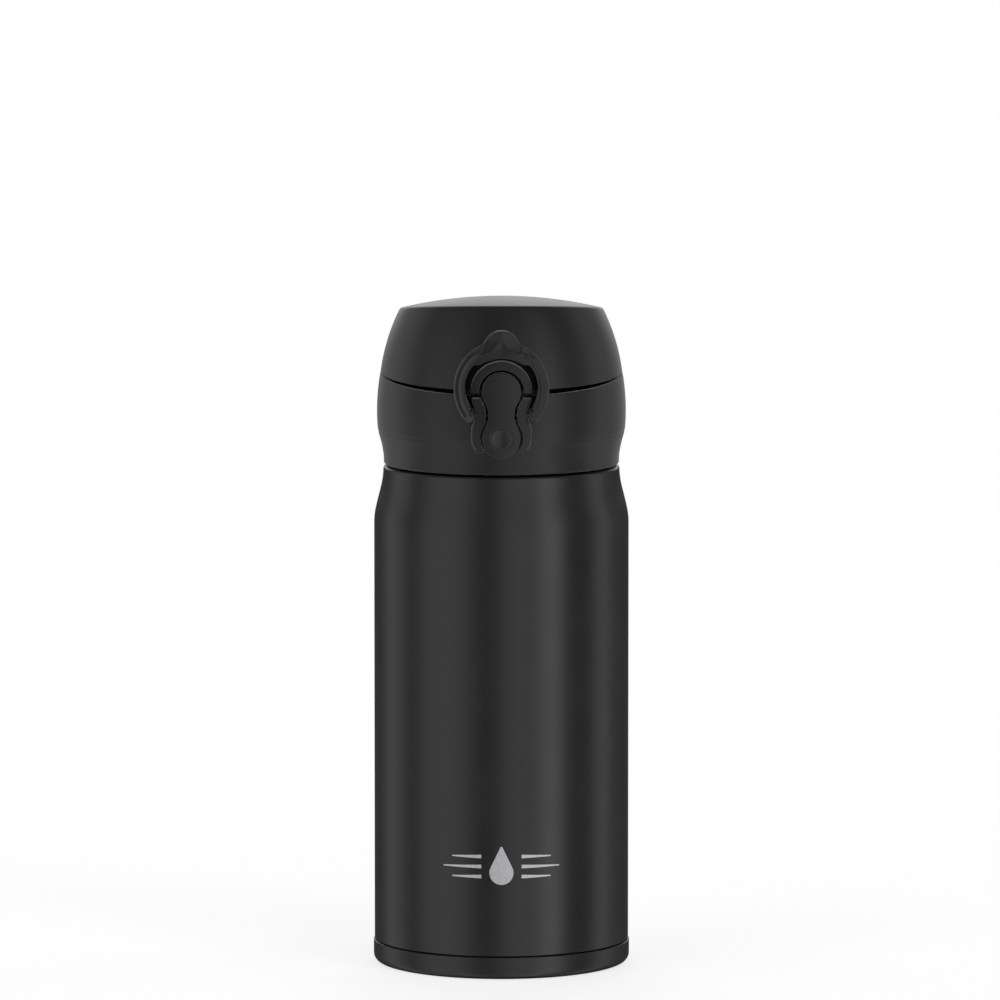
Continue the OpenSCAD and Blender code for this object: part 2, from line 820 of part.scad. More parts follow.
module ring_outline() {
    difference() {
        union() {
            intersection() {
                translate([0, ring_z])
                    circle(r = ring_r);
                translate([-big, ring_low_z])
                    square([2 * big, big]);
            }
            polygon([[-tab_root, tab_root_z - 1.5], [tab_root, tab_root_z - 1.5], [tab_root, tab_root_z],
                     [tab_mid, tab_mid_z], [tab_top, tab_top_z], [-tab_top, tab_top_z],
                     [-tab_mid, tab_mid_z], [-tab_root, tab_root_z]]);
        }
        intersection() {
            translate([0, ring_z])
                circle(r = ring_r - ring_band);
            translate([0, head_z])
                union() {
                    circle(r = ring_crown_r);
                    translate([-big, -big])
                        square([2 * big, big + 6.5]);
                }
        }
        translate([-arm_in, ring_low_z - 1])
            square([2 * arm_in, 6]);
        cheek_outline(clear);
    }
}

// Side view of the ring: eye at the pivot, slanting arm, upright band
module ring_side() {
    translate([-ring_pivot_y, ring_pivot_z])
        circle(r = ring_eye_r);
    polygon([[-ring_pivot_y - 1.4, ring_pivot_z - 1], [-ring_front, ring_pivot_z + 3.4],
             [-ring_front, tab_mid_z], [-ring_front - tab_flare, tab_top_z + 1],
             [-ring_front - tab_flare + ring_depth, tab_top_z + 1], [-ring_back, tab_mid_z],
             [-ring_back, ring_z + 4], [-ring_pivot_y + 1.6, ring_pivot_z + 0.7]]);
}

// Room beside the pivot that the cheeks need while the ring swings over: only a coned eye is left there
module cheek_room() {
    difference() {
        along_x(arm_in - 1, cheek_thumb_r + clear / 2, ring_swing_r, -ring_pivot_y, ring_pivot_z);
        translate([arm_in - 1.1, -ring_pivot_y, ring_pivot_z])
            rotate([0, 90, 0])
                cylinder(r1 = ring_eye_tip_r, r2 = ring_eye_r, h = cheek_thumb_r + clear - arm_in + 1.2);
    }
}

module lock_ring() {
    color([0.055, 0.055, 0.06])
        difference() {
            union() {
                difference() {
                    intersection() {
                        front_block(ring_pivot_y - 3, ring_front + 2)
                            ring_outline();
                        side_block(-ring_r - 1, ring_r + 1)
                            ring_side();
                    }
                    both_sides()
                        cheek_room();
                }
                both_sides()
                    along_x(stud_in, arm_in + 1, stud_r, -ring_pivot_y, ring_pivot_z);
            }
            front_block(ring_front - groove_depth, ring_front + 3)
                intersection() {
                    difference() {
                        translate([0, ring_z])
                            circle(r = groove_mid + groove_half);
                        translate([0, ring_z])
                            circle(r = groove_mid - groove_half);
                    }
                    translate([-big, ring_pivot_z + 3])
                        square([2 * big, tab_root_z - 1 - ring_pivot_z - 3]);
                }
        }
}

module release_button() {
    color([0.05, 0.05, 0.055])
        difference() {
            union() {
                intersection() {
                    front_block(body_r - 4, face_y)
                        button_outline(0);
                    side_block(-head_r - 1, head_r + 1)
                        polygon([[-face_y, head_z + 6], [-face_y, slope_top_z],
                                 [-face_y + slope_in, slope_low_z], [-button_low_back, slope_low_z],
                                 [-button_mid_back, coil_z - 2], [-button_mid_back, coil_z + 2],
                                 [-button_back, coil_z + 3.2], [-button_back, button_z + 2.4],
                                 [-button_head_back, button_z + 3.9], [-button_head_back, head_z + 6]]);
                }
                translate([-claw_half, -button_head_back - snug, claw_z])
                    cube([2 * claw_half, button_head_back - claw_y + snug, claw_h]);
            }
            along_x(-head_r, head_r, button_pin_r + running, -button_y, button_z);
            translate([0, -face_y + slope_in * (slope_top_z - thumb_z) / (slope_top_z - slope_low_z),
                       thumb_z])
                rotate([-atan(slope_in / (slope_top_z - slope_low_z)), 0, 0])
                    translate([0, -sqrt(dimple_ball * dimple_ball - dimple_r * dimple_r), 0])
                        sphere(r = dimple_ball);
        }
}

outer_shell();
inner_vessel();
foil_wrap();
getter();
bottom_plate();
vacuum_seal();
base_cover();
stopper_seal();
collar_shell();
cap_core();
mouthpiece();
spout_seal();
hinge_pin();
hinge_spring();
button_pin();
button_spring();
lid_cover();
lid_liner();
lid_seal();
lock_ring();
release_button();
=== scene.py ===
"""Looks of the insulated flask: satin black steel body, moulded black cap with a flip lid,
keyhole button and lock ring."""

import math

import bmesh
import bpy
import numpy as np
from mathutils import Matrix, Vector
from mathutils.geometry import delaunay_2d_cdt


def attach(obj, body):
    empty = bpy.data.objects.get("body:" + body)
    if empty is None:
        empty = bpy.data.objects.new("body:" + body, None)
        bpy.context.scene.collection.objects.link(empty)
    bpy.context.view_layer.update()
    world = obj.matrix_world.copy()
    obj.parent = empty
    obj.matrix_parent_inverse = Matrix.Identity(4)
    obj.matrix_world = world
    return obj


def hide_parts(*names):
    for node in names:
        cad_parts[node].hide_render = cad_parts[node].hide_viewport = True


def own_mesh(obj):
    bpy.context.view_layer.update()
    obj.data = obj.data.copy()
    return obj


MM = 0.001

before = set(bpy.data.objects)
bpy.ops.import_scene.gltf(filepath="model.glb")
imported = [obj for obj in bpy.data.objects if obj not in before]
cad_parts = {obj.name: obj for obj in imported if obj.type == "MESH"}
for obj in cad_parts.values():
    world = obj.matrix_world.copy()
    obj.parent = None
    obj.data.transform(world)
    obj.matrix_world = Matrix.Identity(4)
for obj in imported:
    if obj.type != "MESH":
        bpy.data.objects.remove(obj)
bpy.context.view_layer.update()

# ---------------------------------------------------------------- sizes, mm
BODY_R = 33.0
BODY_H = 129.8
BASE_R = 33.25
BASE_H = 5.9
SHOULDER_Z = 115.0
TOP_R = 30.6
NECK_R = 24.4
NECK_Z = 143.6
SHEET = 0.6
VESSEL_R = 30.1
VESSEL_SHEET = 0.5
VESSEL_TOP = 109.8
THREAD_LEAD = 8.0
THREAD_LOW = 132.8
THREAD_TURNS = 0.72
FOOT_Z = 130.3
FOOT_R = 30.47
CREASE_Z = 138.6
BARREL_R = 32.23
BARREL_ARC = 57.0
BARREL_Z = 144.0
SPLIT_Z = 154.05
SPLIT_TILT = 4.19
FRONT_TILT = 5.49
DECK_LOW = 144.2
DECK_TOP = 146.4
LID_TILT = 5.75
LID_R = 31.72
LID_ARC = 51.0
LID_ARC_Z = 147.5
DOME_R = 112.5
LID_TOP_Z = 170.52
RIM_Y = 1.0
WALL = 1.7
RIM_ROUND = 1.3
HINGE_Y = 30.3
HINGE_Z = 156.3
HEAD_Z = 151.95
HEAD_R = 5.05
THUMB_Z = 139.95
THUMB_R = 4.95
THUMB_SWELL = 0.34
WAIST = 3.37
GAP = 0.45
ARCH_R = 7.85
ARCH_IN = 5.72
ARCH_END_Z = 151.75
FACE_Y = -34.5
CHEEK_FACE = -34.6
CHEEK_Z = 140.8
CHEEK_R = 7.9
CHEEK_WAIST = 6.65
CHEEK_TOP = 150.3
CHEEK_LOW = 136.2
SLOPE_TOP = 143.0
SLOPE_LOW = 135.1
SLOPE_IN = 3.0
POCKET_Y = -29.3
SPRING_Z = 140.5
RING_Z = 153.2
RING_R = 12.2
RING_IN = 9.3
RING_LOW = 1.07
GROOVE_R = 10.32
CHANNEL_R = 9.4
CHANNEL_DEPTH = 0.9
FACE_BOW = 42.0
CROWN_Z = 150.35
CROWN_R = 10.5
CROWN_X = 5.7
ARM_IN = 8.12
EYE_IN = 6.97
CROWN_STEP_Z = 158.9
RING_BACK = -35.0
RING_FRONT = -37.0
PIVOT_Y = -33.2
PIVOT_Z = 146.1


# ---------------------------------------------------------------- shader tools
class Graph:
    """The nodes of one material or of the world."""

    def __init__(self, tree):
        self.nodes = tree.nodes
        self.links = tree.links

    def node(self, kind, **settings):
        n = self.nodes.new("ShaderNode" + kind)
        for key, value in settings.items():
            setattr(n, key, value)
        return n

    def feed(self, sockets, values):
        """Gives each named socket a link or a fixed value."""
        for key, value in values.items():
            if isinstance(value, bpy.types.NodeSocket):
                self.links.new(value, sockets[key])
            else:
                sockets[key].default_value = value

    def coords(self, kind="Object"):
        return self.node("TexCoord").outputs[kind]

    def split(self, vector):
        n = self.node("SeparateXYZ")
        self.feed(n.inputs, {0: vector})
        return n.outputs

    def math(self, operation, *values):
        n = self.node("Math", operation=operation)
        self.feed(n.inputs, dict(enumerate(values)))
        return n.outputs[0]

    def noise(self, coords, scale, detail=4.0, rough=0.5):
        n = self.node("TexNoise")
        self.feed(n.inputs, {"Vector": coords, "Scale": scale, "Detail": detail, "Roughness": rough})
        return n.outputs["Fac"]

    def ramp(self, value, low, high, start=0.3, end=0.7, kind="LINEAR"):
        """Maps start..end to low..high."""
        n = self.node("MapRange", interpolation_type=kind)
        self.feed(n.inputs, {"Value": value, "From Min": start, "From Max": end,
                             "To Min": low, "To Max": high})
        return n.outputs["Result"]

    def step(self, value, start, end, low, high):
        """Eases from low to high between start and end."""
        return self.ramp(value, low, high, start, end, "SMOOTHSTEP")

    def mix(self, kind, factor, a, b):
        n = self.node("Mix", data_type=kind)
        self.feed(n.inputs, {"Factor": factor, "A": a, "B": b})
        return n.outputs["Result"]

    def tint(self, value, dark, light):
        n = self.node("ValToRGB")
        for element, position, colour in zip(n.color_ramp.elements, (0.3, 0.7), (dark, light)):
            element.position = position
            element.color = (*colour, 1)
        self.feed(n.inputs, {"Fac": value})
        return n.outputs["Color"]


class Surface(Graph):
    """A new material round its Principled node."""

    def __init__(self, name):
        self.material = bpy.data.materials.new(name)
        self.material.use_nodes = True
        super().__init__(self.material.node_tree)
        self.sockets = self.nodes["Principled BSDF"].inputs

    def set(self, values):
        self.feed(self.sockets, values)

    def bump(self, height, distance, strength, below=None):
        n = self.node("Bump")
        self.feed(n.inputs, {"Height": height, "Distance": distance, "Strength": strength})
        if below is not None:
            self.feed(n.inputs, {"Normal": below})
        self.set({"Normal": n.outputs["Normal"]})
        return n.outputs["Normal"]


# ---------------------------------------------------------------- materials
def latch_shade_mask(g, coords):
    """1 on the walls and floor behind the latch, which get painted shade (a near-black colour) and full
    roughness; 0 elsewhere.
    """
    x, y, z = g.split(coords)
    flat = g.node("CombineXYZ")
    g.feed(flat.inputs, {"X": x, "Y": z})
    away = g.node("VectorMath", operation="DISTANCE")
    g.feed(away.inputs, {0: flat.outputs[0], 1: (0, RING_Z * MM, 0)})
    near = g.step(away.outputs["Value"], CHANNEL_R * MM, CHANNEL_R * MM + 0.00005, 1.0, 0.0)
    level = g.math("MULTIPLY_ADD", g.math("MULTIPLY", x, x), -1 / (2 * FACE_BOW * MM), y)
    behind = g.step(level, -0.03435, -0.0342, 0.0, 1.0)
    front = g.step(y, -0.0262, -0.026, 1.0, 0.0)
    gap = g.step(z, 0.1385, 0.142, 0.0, 1.0)
    return g.math("MULTIPLY", g.math("MULTIPLY", g.math("MULTIPLY", near, behind), front), gap)


def grained(name, dark, light, rough, grain, depth, specular, metallic=0.0, sheen=0.0, shade_behind_latch=False):
    """Moulded or painted surface: fine grain in the bump, slow drift in colour and roughness."""
    s = Surface(name)
    coords = s.coords()
    slow = s.noise(coords, 90.0, 3.0)
    colour = s.tint(slow, dark, light)
    finish = s.ramp(slow, rough - 0.02, rough + 0.03)
    if shade_behind_latch:
        # Painted shade: the walls and floor behind the latch get a near-black colour and full roughness, so the
        # gaps round the latch look dark.
        painted_shade = latch_shade_mask(s, coords)
        colour = s.mix("RGBA", painted_shade, colour, (0.001, 0.001, 0.001, 1))
        finish = s.mix("FLOAT", painted_shade, finish, 1.0)
    s.set({"Base Color": colour, "Roughness": finish, "Specular IOR Level": specular,
           "Metallic": metallic, "Sheen Weight": sheen, "Sheen Roughness": 0.4})
    broad = s.bump(s.noise(coords, grain / 7.0, 2.0), depth * 2.0, 0.25)
    s.bump(s.noise(coords, grain, 3.0, 0.6), depth, 0.5, broad)
    return s.material


def brushed(name, base, rough, stretch):
    """Drawn steel with fine lines; stretch squeezes the noise along one axis."""
    s = Surface(name)
    mapping = s.node("Mapping")
    s.feed(mapping.inputs, {"Scale": stretch, "Vector": s.coords()})
    lines = s.noise(mapping.outputs["Vector"], 900.0, 5.0, 0.7)
    s.set({"Metallic": 1.0, "Base Color": s.tint(lines, tuple(c * 0.86 for c in base), base),
           "Roughness": s.ramp(lines, rough - 0.05, rough + 0.08)})
    s.bump(lines, 0.00003, 0.4)
    return s.material


def foil_material(name, base):
    """Bright foil with a net of creases."""
    s = Surface(name)
    coords = s.coords()
    creases = s.node("TexVoronoi", feature="DISTANCE_TO_EDGE")
    s.feed(creases.inputs, {"Vector": coords, "Scale": 120.0})
    slow = s.noise(coords, 60.0)
    s.set({"Metallic": 1.0, "Base Color": s.tint(slow, tuple(c * 0.8 for c in base), base),
           "Roughness": s.ramp(slow, 0.16, 0.28)})
    s.bump(creases.outputs["Distance"], 0.0002, 0.6)
    return s.material


def silicone_material(name):
    s = Surface(name)
    coords = s.coords()
    slow = s.noise(coords, 70.0)
    s.set({"Base Color": s.tint(slow, (0.6, 0.6, 0.58), (0.72, 0.72, 0.7)),
           "Roughness": s.ramp(slow, 0.42, 0.52), "Subsurface Weight": 0.25,
           "Subsurface Radius": (0.004, 0.004, 0.004), "Subsurface Scale": 1.0})
    s.bump(s.noise(coords, 2500.0), 0.00002, 0.4)
    return s.material


def print_material(name):
    s = Surface(name)
    fine = s.noise(s.coords(), 1500.0, 3.0)
    s.set({"Base Color": s.tint(fine, (0.52, 0.52, 0.53), (0.62, 0.62, 0.63)),
           "Roughness": s.ramp(fine, 0.34, 0.46), "Metallic": 0.35})
    s.bump(fine, 0.00001, 0.3)
    return s.material


BLACKS = (0.0085, 0.0085, 0.0092), (0.0105, 0.0105, 0.0112)
PAINT = grained("satin_black_paint", *BLACKS, 0.28, 5200.0, 0.000008, 0.5)
# The cap's moulding carries painted shade on the walls and floor behind the latch.
MOULDING = grained("black_moulding", (0.008, 0.008, 0.0086), (0.0104, 0.0104, 0.011), 0.36, 4200.0, 0.000012,
                   0.34, sheen=0.6, shade_behind_latch=True)
BASE_MOULDING = grained("base_moulding", *BLACKS, 0.3, 4600.0, 0.00001, 0.48)
LATCH_MOULDING = grained("latch_moulding", (0.0095, 0.0095, 0.0105), (0.012, 0.012, 0.013), 0.3, 4600.0,
                         0.000009, 0.4, sheen=0.35)
INNER_MOULDING = grained("inner_moulding", (0.018, 0.018, 0.019), (0.024, 0.024, 0.025), 0.34, 3000.0,
                         0.000012, 0.5)
STEEL = brushed("bare_stainless", (0.68, 0.68, 0.69), 0.28, (1.0, 1.0, 18.0))
PIN_STEEL = brushed("pin_steel", (0.62, 0.62, 0.63), 0.24, (0.15, 1.0, 1.0))
# Painted shade: the button pin's steel is near black so that it shows dark where it is seen through the gaps
# beside the button.
DARK_STEEL = brushed("pin_steel_painted_dark", (0.03, 0.03, 0.032), 0.42, (0.15, 1.0, 1.0))
SPRING_STEEL = brushed("spring_steel", (0.58, 0.58, 0.6), 0.3, (1.0, 1.0, 1.0))
FOIL = foil_material("copper_foil", (0.82, 0.52, 0.38))
GETTER = grained("sintered_getter", (0.2, 0.2, 0.2), (0.3, 0.3, 0.3), 0.6, 1500.0, 0.00006, 0.4, metallic=0.8)
BEAD = grained("sealing_bead", (0.2, 0.15, 0.09), (0.27, 0.21, 0.13), 0.22, 900.0, 0.00001, 0.5)
SILICONE = silicone_material("milky_silicone")
PRINT = print_material("silver_print")


# ---------------------------------------------------------------- mesh tools
def make_object(name, points, faces, material, body=None, smooth_angle=35.0):
    """A mesh from points in mm, cleaned and shaded, riding on body."""
    me = bpy.data.meshes.new(name)
    me.from_pydata([tuple(float(c) * MM for c in p) for p in points], [], faces)
    me.validate()
    bm = bmesh.new()
    bm.from_mesh(me)
    bmesh.ops.remove_doubles(bm, verts=bm.verts, dist=2e-6)
    bmesh.ops.dissolve_degenerate(bm, edges=bm.edges, dist=1e-6)
    bmesh.ops.recalc_face_normals(bm, faces=bm.faces)
    bm.to_mesh(me)
    bm.free()
    shade(me, material, smooth_angle)
    o = bpy.data.objects.new(name, me)
    bpy.context.scene.collection.objects.link(o)
    if body:
        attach(o, body)
    return o


def shade(me, material, smooth_angle):
    me.shade_smooth()
    me.set_sharp_from_angle(angle=math.radians(smooth_angle))
    me.materials.clear()
    me.materials.append(material)


def grid_faces(rows, columns, closed_rows=False):
    """Faces of a tube of closed rows; closed_rows joins the last row to the first."""
    faces = []
    for i in range(rows if closed_rows else rows - 1):
        for j in range(columns):
            k = (j + 1) % columns
            n = (i + 1) % rows
            faces.append((i * columns + j, i * columns + k, n * columns + k, n * columns + j))
    return faces


def end_faces(rows, columns):
    """Faces that close the first and the last row of such a tube."""
    last = (rows - 1) * columns
    return [tuple(range(columns)), tuple(range(last + columns - 1, last - 1, -1))]


def circle_steps(count):
    """Sine and cosine at each step of a full turn."""
    for j in range(count):
        a = 2 * math.pi * j / count
        yield math.sin(a), math.cos(a)


def rounded(path, radius, steps=5):
    """Rounds the inner corners of an open (r, z) path. radius is one number or one per point."""
    out = [np.array(path[0], float)]
    for i in range(1, len(path) - 1):
        p, a, b = (np.array(path[k], float) for k in (i, i - 1, i + 1))
        f = radius[i] if isinstance(radius, (list, tuple)) else radius
        da, db = a - p, b - p
        la, lb = np.linalg.norm(da), np.linalg.norm(db)
        da, db = da / la, db / lb
        cosine = float(np.clip(da @ db, -1, 1))
        if f <= 0 or cosine < -0.9995:
            out.append(p)
            continue
        half = math.acos(cosine) / 2
        cut = min(f / math.tan(half), la * 0.45, lb * 0.45)
        r = cut * math.tan(half)
        centre = p + (da + db) / np.linalg.norm(da + db) * (r / math.sin(half))
        s, e = p + da * cut - centre, p + db * cut - centre
        angle = math.acos(float(np.clip(s @ e / (np.linalg.norm(s) * np.linalg.norm(e)), -1, 1)))
        for k in range(steps + 1):
            t = k / steps
            out.append(centre + (math.sin((1 - t) * angle) * s + math.sin(t * angle) * e) / math.sin(angle))
    out.append(np.array(path[-1], float))
    return [(float(p[0]), float(p[1])) for p in out]


def turned(name, column, material, segments=256):
    """A ring-shaped solid round the Z axis; column(theta) is its closed (r, z) outline at each angle."""
    columns = [column(2 * math.pi * j / segments) for j in range(segments)]
    rows = len(columns[0])
    points = []
    for i in range(rows):
        for (r, z), (s, c) in zip((outline[i] for outline in columns), circle_steps(segments)):
            points.append((r * s, -r * c, z))
    return make_object(name, points, grid_faces(rows, segments, closed_rows=True), material)


def revolved(name, path, material, body=None, segments=192):
    """Turns a closed (r, z) outline round the Z axis."""
    points = [(r * s, -r * c, z) for r, z in path for s, c in circle_steps(segments)]
    return make_object(name, points, grid_faces(len(path), segments, closed_rows=True), material, body, 30.0)


def boolean(target, cutter, operation="DIFFERENCE"):
    """Applies one boolean and drops the cutter."""
    mod = target.modifiers.new("cut", "BOOLEAN")
    mod.operation = operation
    mod.solver = "EXACT"
    mod.object = cutter
    bpy.context.view_layer.update()
    deps = bpy.context.evaluated_depsgraph_get()
    me = bpy.data.meshes.new_from_object(target.evaluated_get(deps))
    target.modifiers.clear()
    old = target.data
    target.data = me
    bpy.data.meshes.remove(old)
    bpy.data.objects.remove(cutter)
    return target


def reshade(o, material, angle=30.0):
    """Cleans and shades a piece after its booleans."""
    bm = bmesh.new()
    bm.from_mesh(o.data)
    bmesh.ops.dissolve_degenerate(bm, edges=bm.edges, dist=1e-6)
    bm.to_mesh(o.data)
    bm.free()
    shade(o.data, material, angle)


def prism(name, outline, y0, y1):
    """A front-view outline (x, z) pushed through from y0 to y1: a cutter."""
    points = [(x, y, z) for y in (y0, y1) for x, z in outline]
    return make_object(name, points, end_faces(2, len(outline)) + grid_faces(2, len(outline)), MOULDING)


def box_prism(name, half, z0, z1, y0, y1):
    """A box cutter, symmetric about x = 0."""
    return prism(name, [(-half, z0), (half, z0), (half, z1), (-half, z1)], y0, y1)


def outward(outline):
    """Outward unit normal at each point of a closed outline."""
    p = np.array(outline, float)
    along = np.roll(p, -1, 0) - np.roll(p, 1, 0)
    area = np.sum(p[:, 0] * np.roll(p[:, 1], -1) - np.roll(p[:, 0], -1) * p[:, 1])
    normal = np.stack([along[:, 1], -along[:, 0]], 1) / np.linalg.norm(along, axis=1)[:, None]
    return normal if area >= 0 else -normal


def side_prism(name, outline, x0, x1, material, bevel):
    """A side-view outline (y, z) pushed through from x0 to x1, with a small bevel."""
    pts = np.array(outline, float)
    normal = outward(pts)
    loops = []
    for k in range(4):
        a = math.pi / 2 * k / 3
        loops.append((x0 + bevel * (1 - math.sin(a)), bevel * (1 - math.cos(a))))
    loops += [(x0 + x1 - x, inset) for x, inset in reversed(loops)]
    points = []
    for x, inset in loops:
        points += [(x, float(y), float(z)) for y, z in pts - normal * inset]
    faces = grid_faces(len(loops), len(pts)) + end_faces(len(loops), len(pts))
    return make_object(name, points, faces, material, None, 40.0)


def bar(name, x0, x1, r, y, z, material, body=None, bevel=0.25, segments=64):
    """A round bar along X with rounded ends."""
    path = [(0, x0), (r, x0), (r, x1), (0, x1)]
    if bevel:
        path = rounded(path, [0, bevel, bevel, 0])
    points = [(x, y + q * c, z + q * s) for q, x in path for s, c in circle_steps(segments)]
    return make_object(name, points, grid_faces(len(path), segments), material, body, 40.0)


def post(name, x, y, r, levels, sides, material, angle=35.0):
    """An upright round bar through the given levels."""
    points = [(x + r * c, y + r * s, float(z)) for z in levels for s, c in circle_steps(sides)]
    faces = grid_faces(len(levels), sides) + end_faces(len(levels), sides)
    return make_object(name, points, faces, material, None, angle)


def helix(name, r, wire, turns, length, material, body, place, per_turn=48, sides=14):
    """A round wire wound along +Z of its own frame, then moved by the place matrix (mm)."""
    steps = int(per_turn * turns)
    points = []
    for i in range(steps + 1):
        a = 2 * math.pi * i / per_turn
        lift = wire + (length - 2 * wire) * i / steps
        for s, c in circle_steps(sides):
            q = r + wire * c
            p = place @ Vector((q * math.cos(a), q * math.sin(a), lift + wire * s))
            points.append(tuple(p))
    faces = grid_faces(steps + 1, sides) + end_faces(steps + 1, sides)
    return make_object(name, points, faces, material, body, 60.0)


def join(name, objects, body):
    """Joins several meshes into one piece."""
    bm = bmesh.new()
    for o in objects:
        bm.from_mesh(o.data)
    me = bpy.data.meshes.new(name)
    bm.to_mesh(me)
    bm.free()
    material = objects[0].data.materials[0]
    for o in objects:
        bpy.data.objects.remove(o)
    me.materials.append(material)
    out = bpy.data.objects.new(name, me)
    bpy.context.scene.collection.objects.link(out)
    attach(out, body)
    return out


def smooth(t):
    return t * t * (3 - 2 * t)


# ---------------------------------------------------------------- outlines
def circle_points(cx, cz, r, a0, a1, step=0.2):
    n = max(2, int(abs(a1 - a0) * math.pi / 180 * r / step))
    return [(cx + r * math.cos(math.radians(a0 + (a1 - a0) * k / n)),
             cz + r * math.sin(math.radians(a0 + (a1 - a0) * k / n))) for k in range(n + 1)]


def thumb_swell(z):
    """How far the button's outline grows at the thumb end's lower edge, where its gap narrows."""
    return THUMB_SWELL * smooth(float(np.clip((138.4 - z) / 2.4, 0, 1)))


def keyhole(top_z, top_r, low_z, low_r, waist, grow=0.0, step=0.2):
    """Two circles joined by a waist of tangent arcs, as a closed outline, anticlockwise."""
    mid, half = (top_z + low_z) / 2, (top_z - low_z) / 2
    r = (top_r + low_r) / 2
    side = (r * r - waist * waist - half * half) / (2 * (waist - r))
    a = math.degrees(math.atan2(half, waist + side))
    out = circle_points(0, top_z, top_r + grow, -a, 180 + a, step)
    out += circle_points(-(waist + side), mid, side - grow, a, -a, step)[1:-1]
    out += circle_points(0, low_z, low_r + grow, 180 - a, 360 + a, step)
    out += circle_points(waist + side, mid, side - grow, 180 + a, 180 - a, step)[1:-1]
    return out


def resample(outline, step):
    """Evenly spaced points along a closed outline."""
    p = np.array(outline, float)
    p = np.vstack([p, p[:1]])
    d = np.concatenate([[0], np.cumsum(np.linalg.norm(np.diff(p, axis=0), axis=1))])
    t = np.linspace(0, d[-1], max(3, int(d[-1] / step)) + 1)[:-1]
    return np.stack([np.interp(t, d, p[:, k]) for k in range(2)], 1)


def round_corners(outline, radius):
    """Rounds every sharp corner of a closed outline. radius: one number, or a function of (x, z)."""
    n = len(outline)
    out = []
    for i in range(n):
        p, a, b = (np.array(outline[k % n], float) for k in (i, i - 1, i + 1))
        da, db = a - p, b - p
        la, lb = np.linalg.norm(da), np.linalg.norm(db)
        cosine = float(np.clip(da @ db / (la * lb), -1, 1))
        f = radius(p[0], p[1]) if callable(radius) else radius
        if cosine < -0.97 or f <= 0:
            out.append(tuple(p))
            continue
        out += rounded([tuple(a), tuple(p), tuple(b)], f, 6)[1:-1]
    return out


def distance_to(points, outline):
    """Distance of each point to a closed outline."""
    a = np.array(outline, float)
    b = np.roll(a, -1, 0)
    p = np.array(points, float)
    best = np.full(len(p), 1e9)
    ab = b - a
    den = np.maximum((ab * ab).sum(1), 1e-12)
    for start in range(0, len(p), 2000):
        q = p[start:start + 2000, None, :]
        t = np.clip(((q - a) * ab).sum(2) / den, 0, 1)
        d = np.linalg.norm(q - (a + t[..., None] * ab), axis=2).min(1)
        best[start:start + 2000] = d
    return best


def inside(points, outline):
    a = np.array(outline, float)
    b = np.roll(a, -1, 0)
    p = np.array(points, float)
    odd = np.zeros(len(p), bool)
    for (x0, z0), (x1, z1) in zip(a, b):
        hit = ((z0 > p[:, 1]) != (z1 > p[:, 1])) & (
            p[:, 0] < (x1 - x0) * (p[:, 1] - z0) / (z1 - z0 + 1e-15) + x0)
        odd ^= hit
    return odd


def triangulated(edge, inner):
    """Triangles over a closed outline and the points inside it, as vertices and faces."""
    n = len(edge)
    flat = np.vstack([edge] + inner)
    result = delaunay_2d_cdt([Vector(p) for p in flat], [(i, (i + 1) % n) for i in range(n)], [], 1, 1e-7)
    return np.array([tuple(v) for v in result[0]]), [tuple(f) for f in result[2]]


def quarter_round(d, radius):
    """How far a quarter-round edge falls back at distance d from it."""
    t = np.clip(1 - d / radius, 0, 1)
    return radius * (1 - np.sqrt(np.maximum(0, 1 - t * t)))


def relief(name, outline, front, back, material, bevel, cell=0.3, back_bevel=0.0, extra=(), edge_step=0.16,
           steps=()):
    """A plate with a dense, shaped front. outline is closed (x, z); front(x, z, d) and back(x, z, d) give y,
    where d is the distance to the outline; the front edge is rounded by bevel. Rows of points follow the
    outline at each distance in steps."""
    edge = resample(outline, edge_step)
    normal = outward(edge)
    widths = {max(bevel, back_bevel) * (1 - math.cos(math.pi / 2 * k / 4)) for k in range(1, 5)}
    widths = sorted(widths | set(steps))
    inner = []
    for w in widths:
        row = edge - normal * w
        inner.append(row[(distance_to(row, edge) > w * 0.985) & inside(row, edge)])
    lo, hi = edge.min(0), edge.max(0)
    gx, gz = np.meshgrid(np.arange(lo[0], hi[0] + cell, cell), np.arange(lo[1], hi[1] + cell, cell * 0.87))
    gx[1::2] += cell / 2
    cloud = np.vstack([np.stack([gx.ravel(), gz.ravel()], 1), *extra])
    cloud = cloud[inside(cloud, edge)]
    inner.append(cloud[distance_to(cloud, edge) > widths[-1] + cell * 0.45])
    verts, faces = triangulated(edge, inner)
    d = distance_to(verts, edge)
    d[d < 1e-4] = 0.0
    y_front = np.array([front(x, z, e) for (x, z), e in zip(verts, d)]) + quarter_round(d, bevel)
    y_back = np.array([back(x, z, e) for (x, z), e in zip(verts, d)])
    if back_bevel:
        y_back = y_back - quarter_round(d, back_bevel)
    points = [(v[0], y, v[1]) for level in (y_front, y_back) for v, y in zip(verts, level)]
    count = len(verts)
    sides = {(a, b) for f in faces for a, b in zip(f, f[1:] + f[:1])}
    faces += [tuple(i + count for i in reversed(f)) for f in faces]
    faces += [(b, a, a + count, b + count) for a, b in sorted(sides) if (b, a) not in sides]
    return make_object(name, points, faces, material, None, 32.0)


# ---------------------------------------------------------------- camera, made first
CAMERA_PITCH = 6.43
CAMERA_LENS = 319.9
CAMERA_AT = (-0.00037, -2.2893, 0.37854)

camera_data = bpy.data.cameras.new("photo_camera")
camera = bpy.data.objects.new("photo_camera", camera_data)
bpy.context.scene.collection.objects.link(camera)
camera_data.sensor_width = 36.0
camera_data.lens = CAMERA_LENS
camera_data.clip_end = 50.0
camera.location = CAMERA_AT
camera.rotation_euler = (math.radians(90 - CAMERA_PITCH), 0, 0)
bpy.context.scene.camera = camera


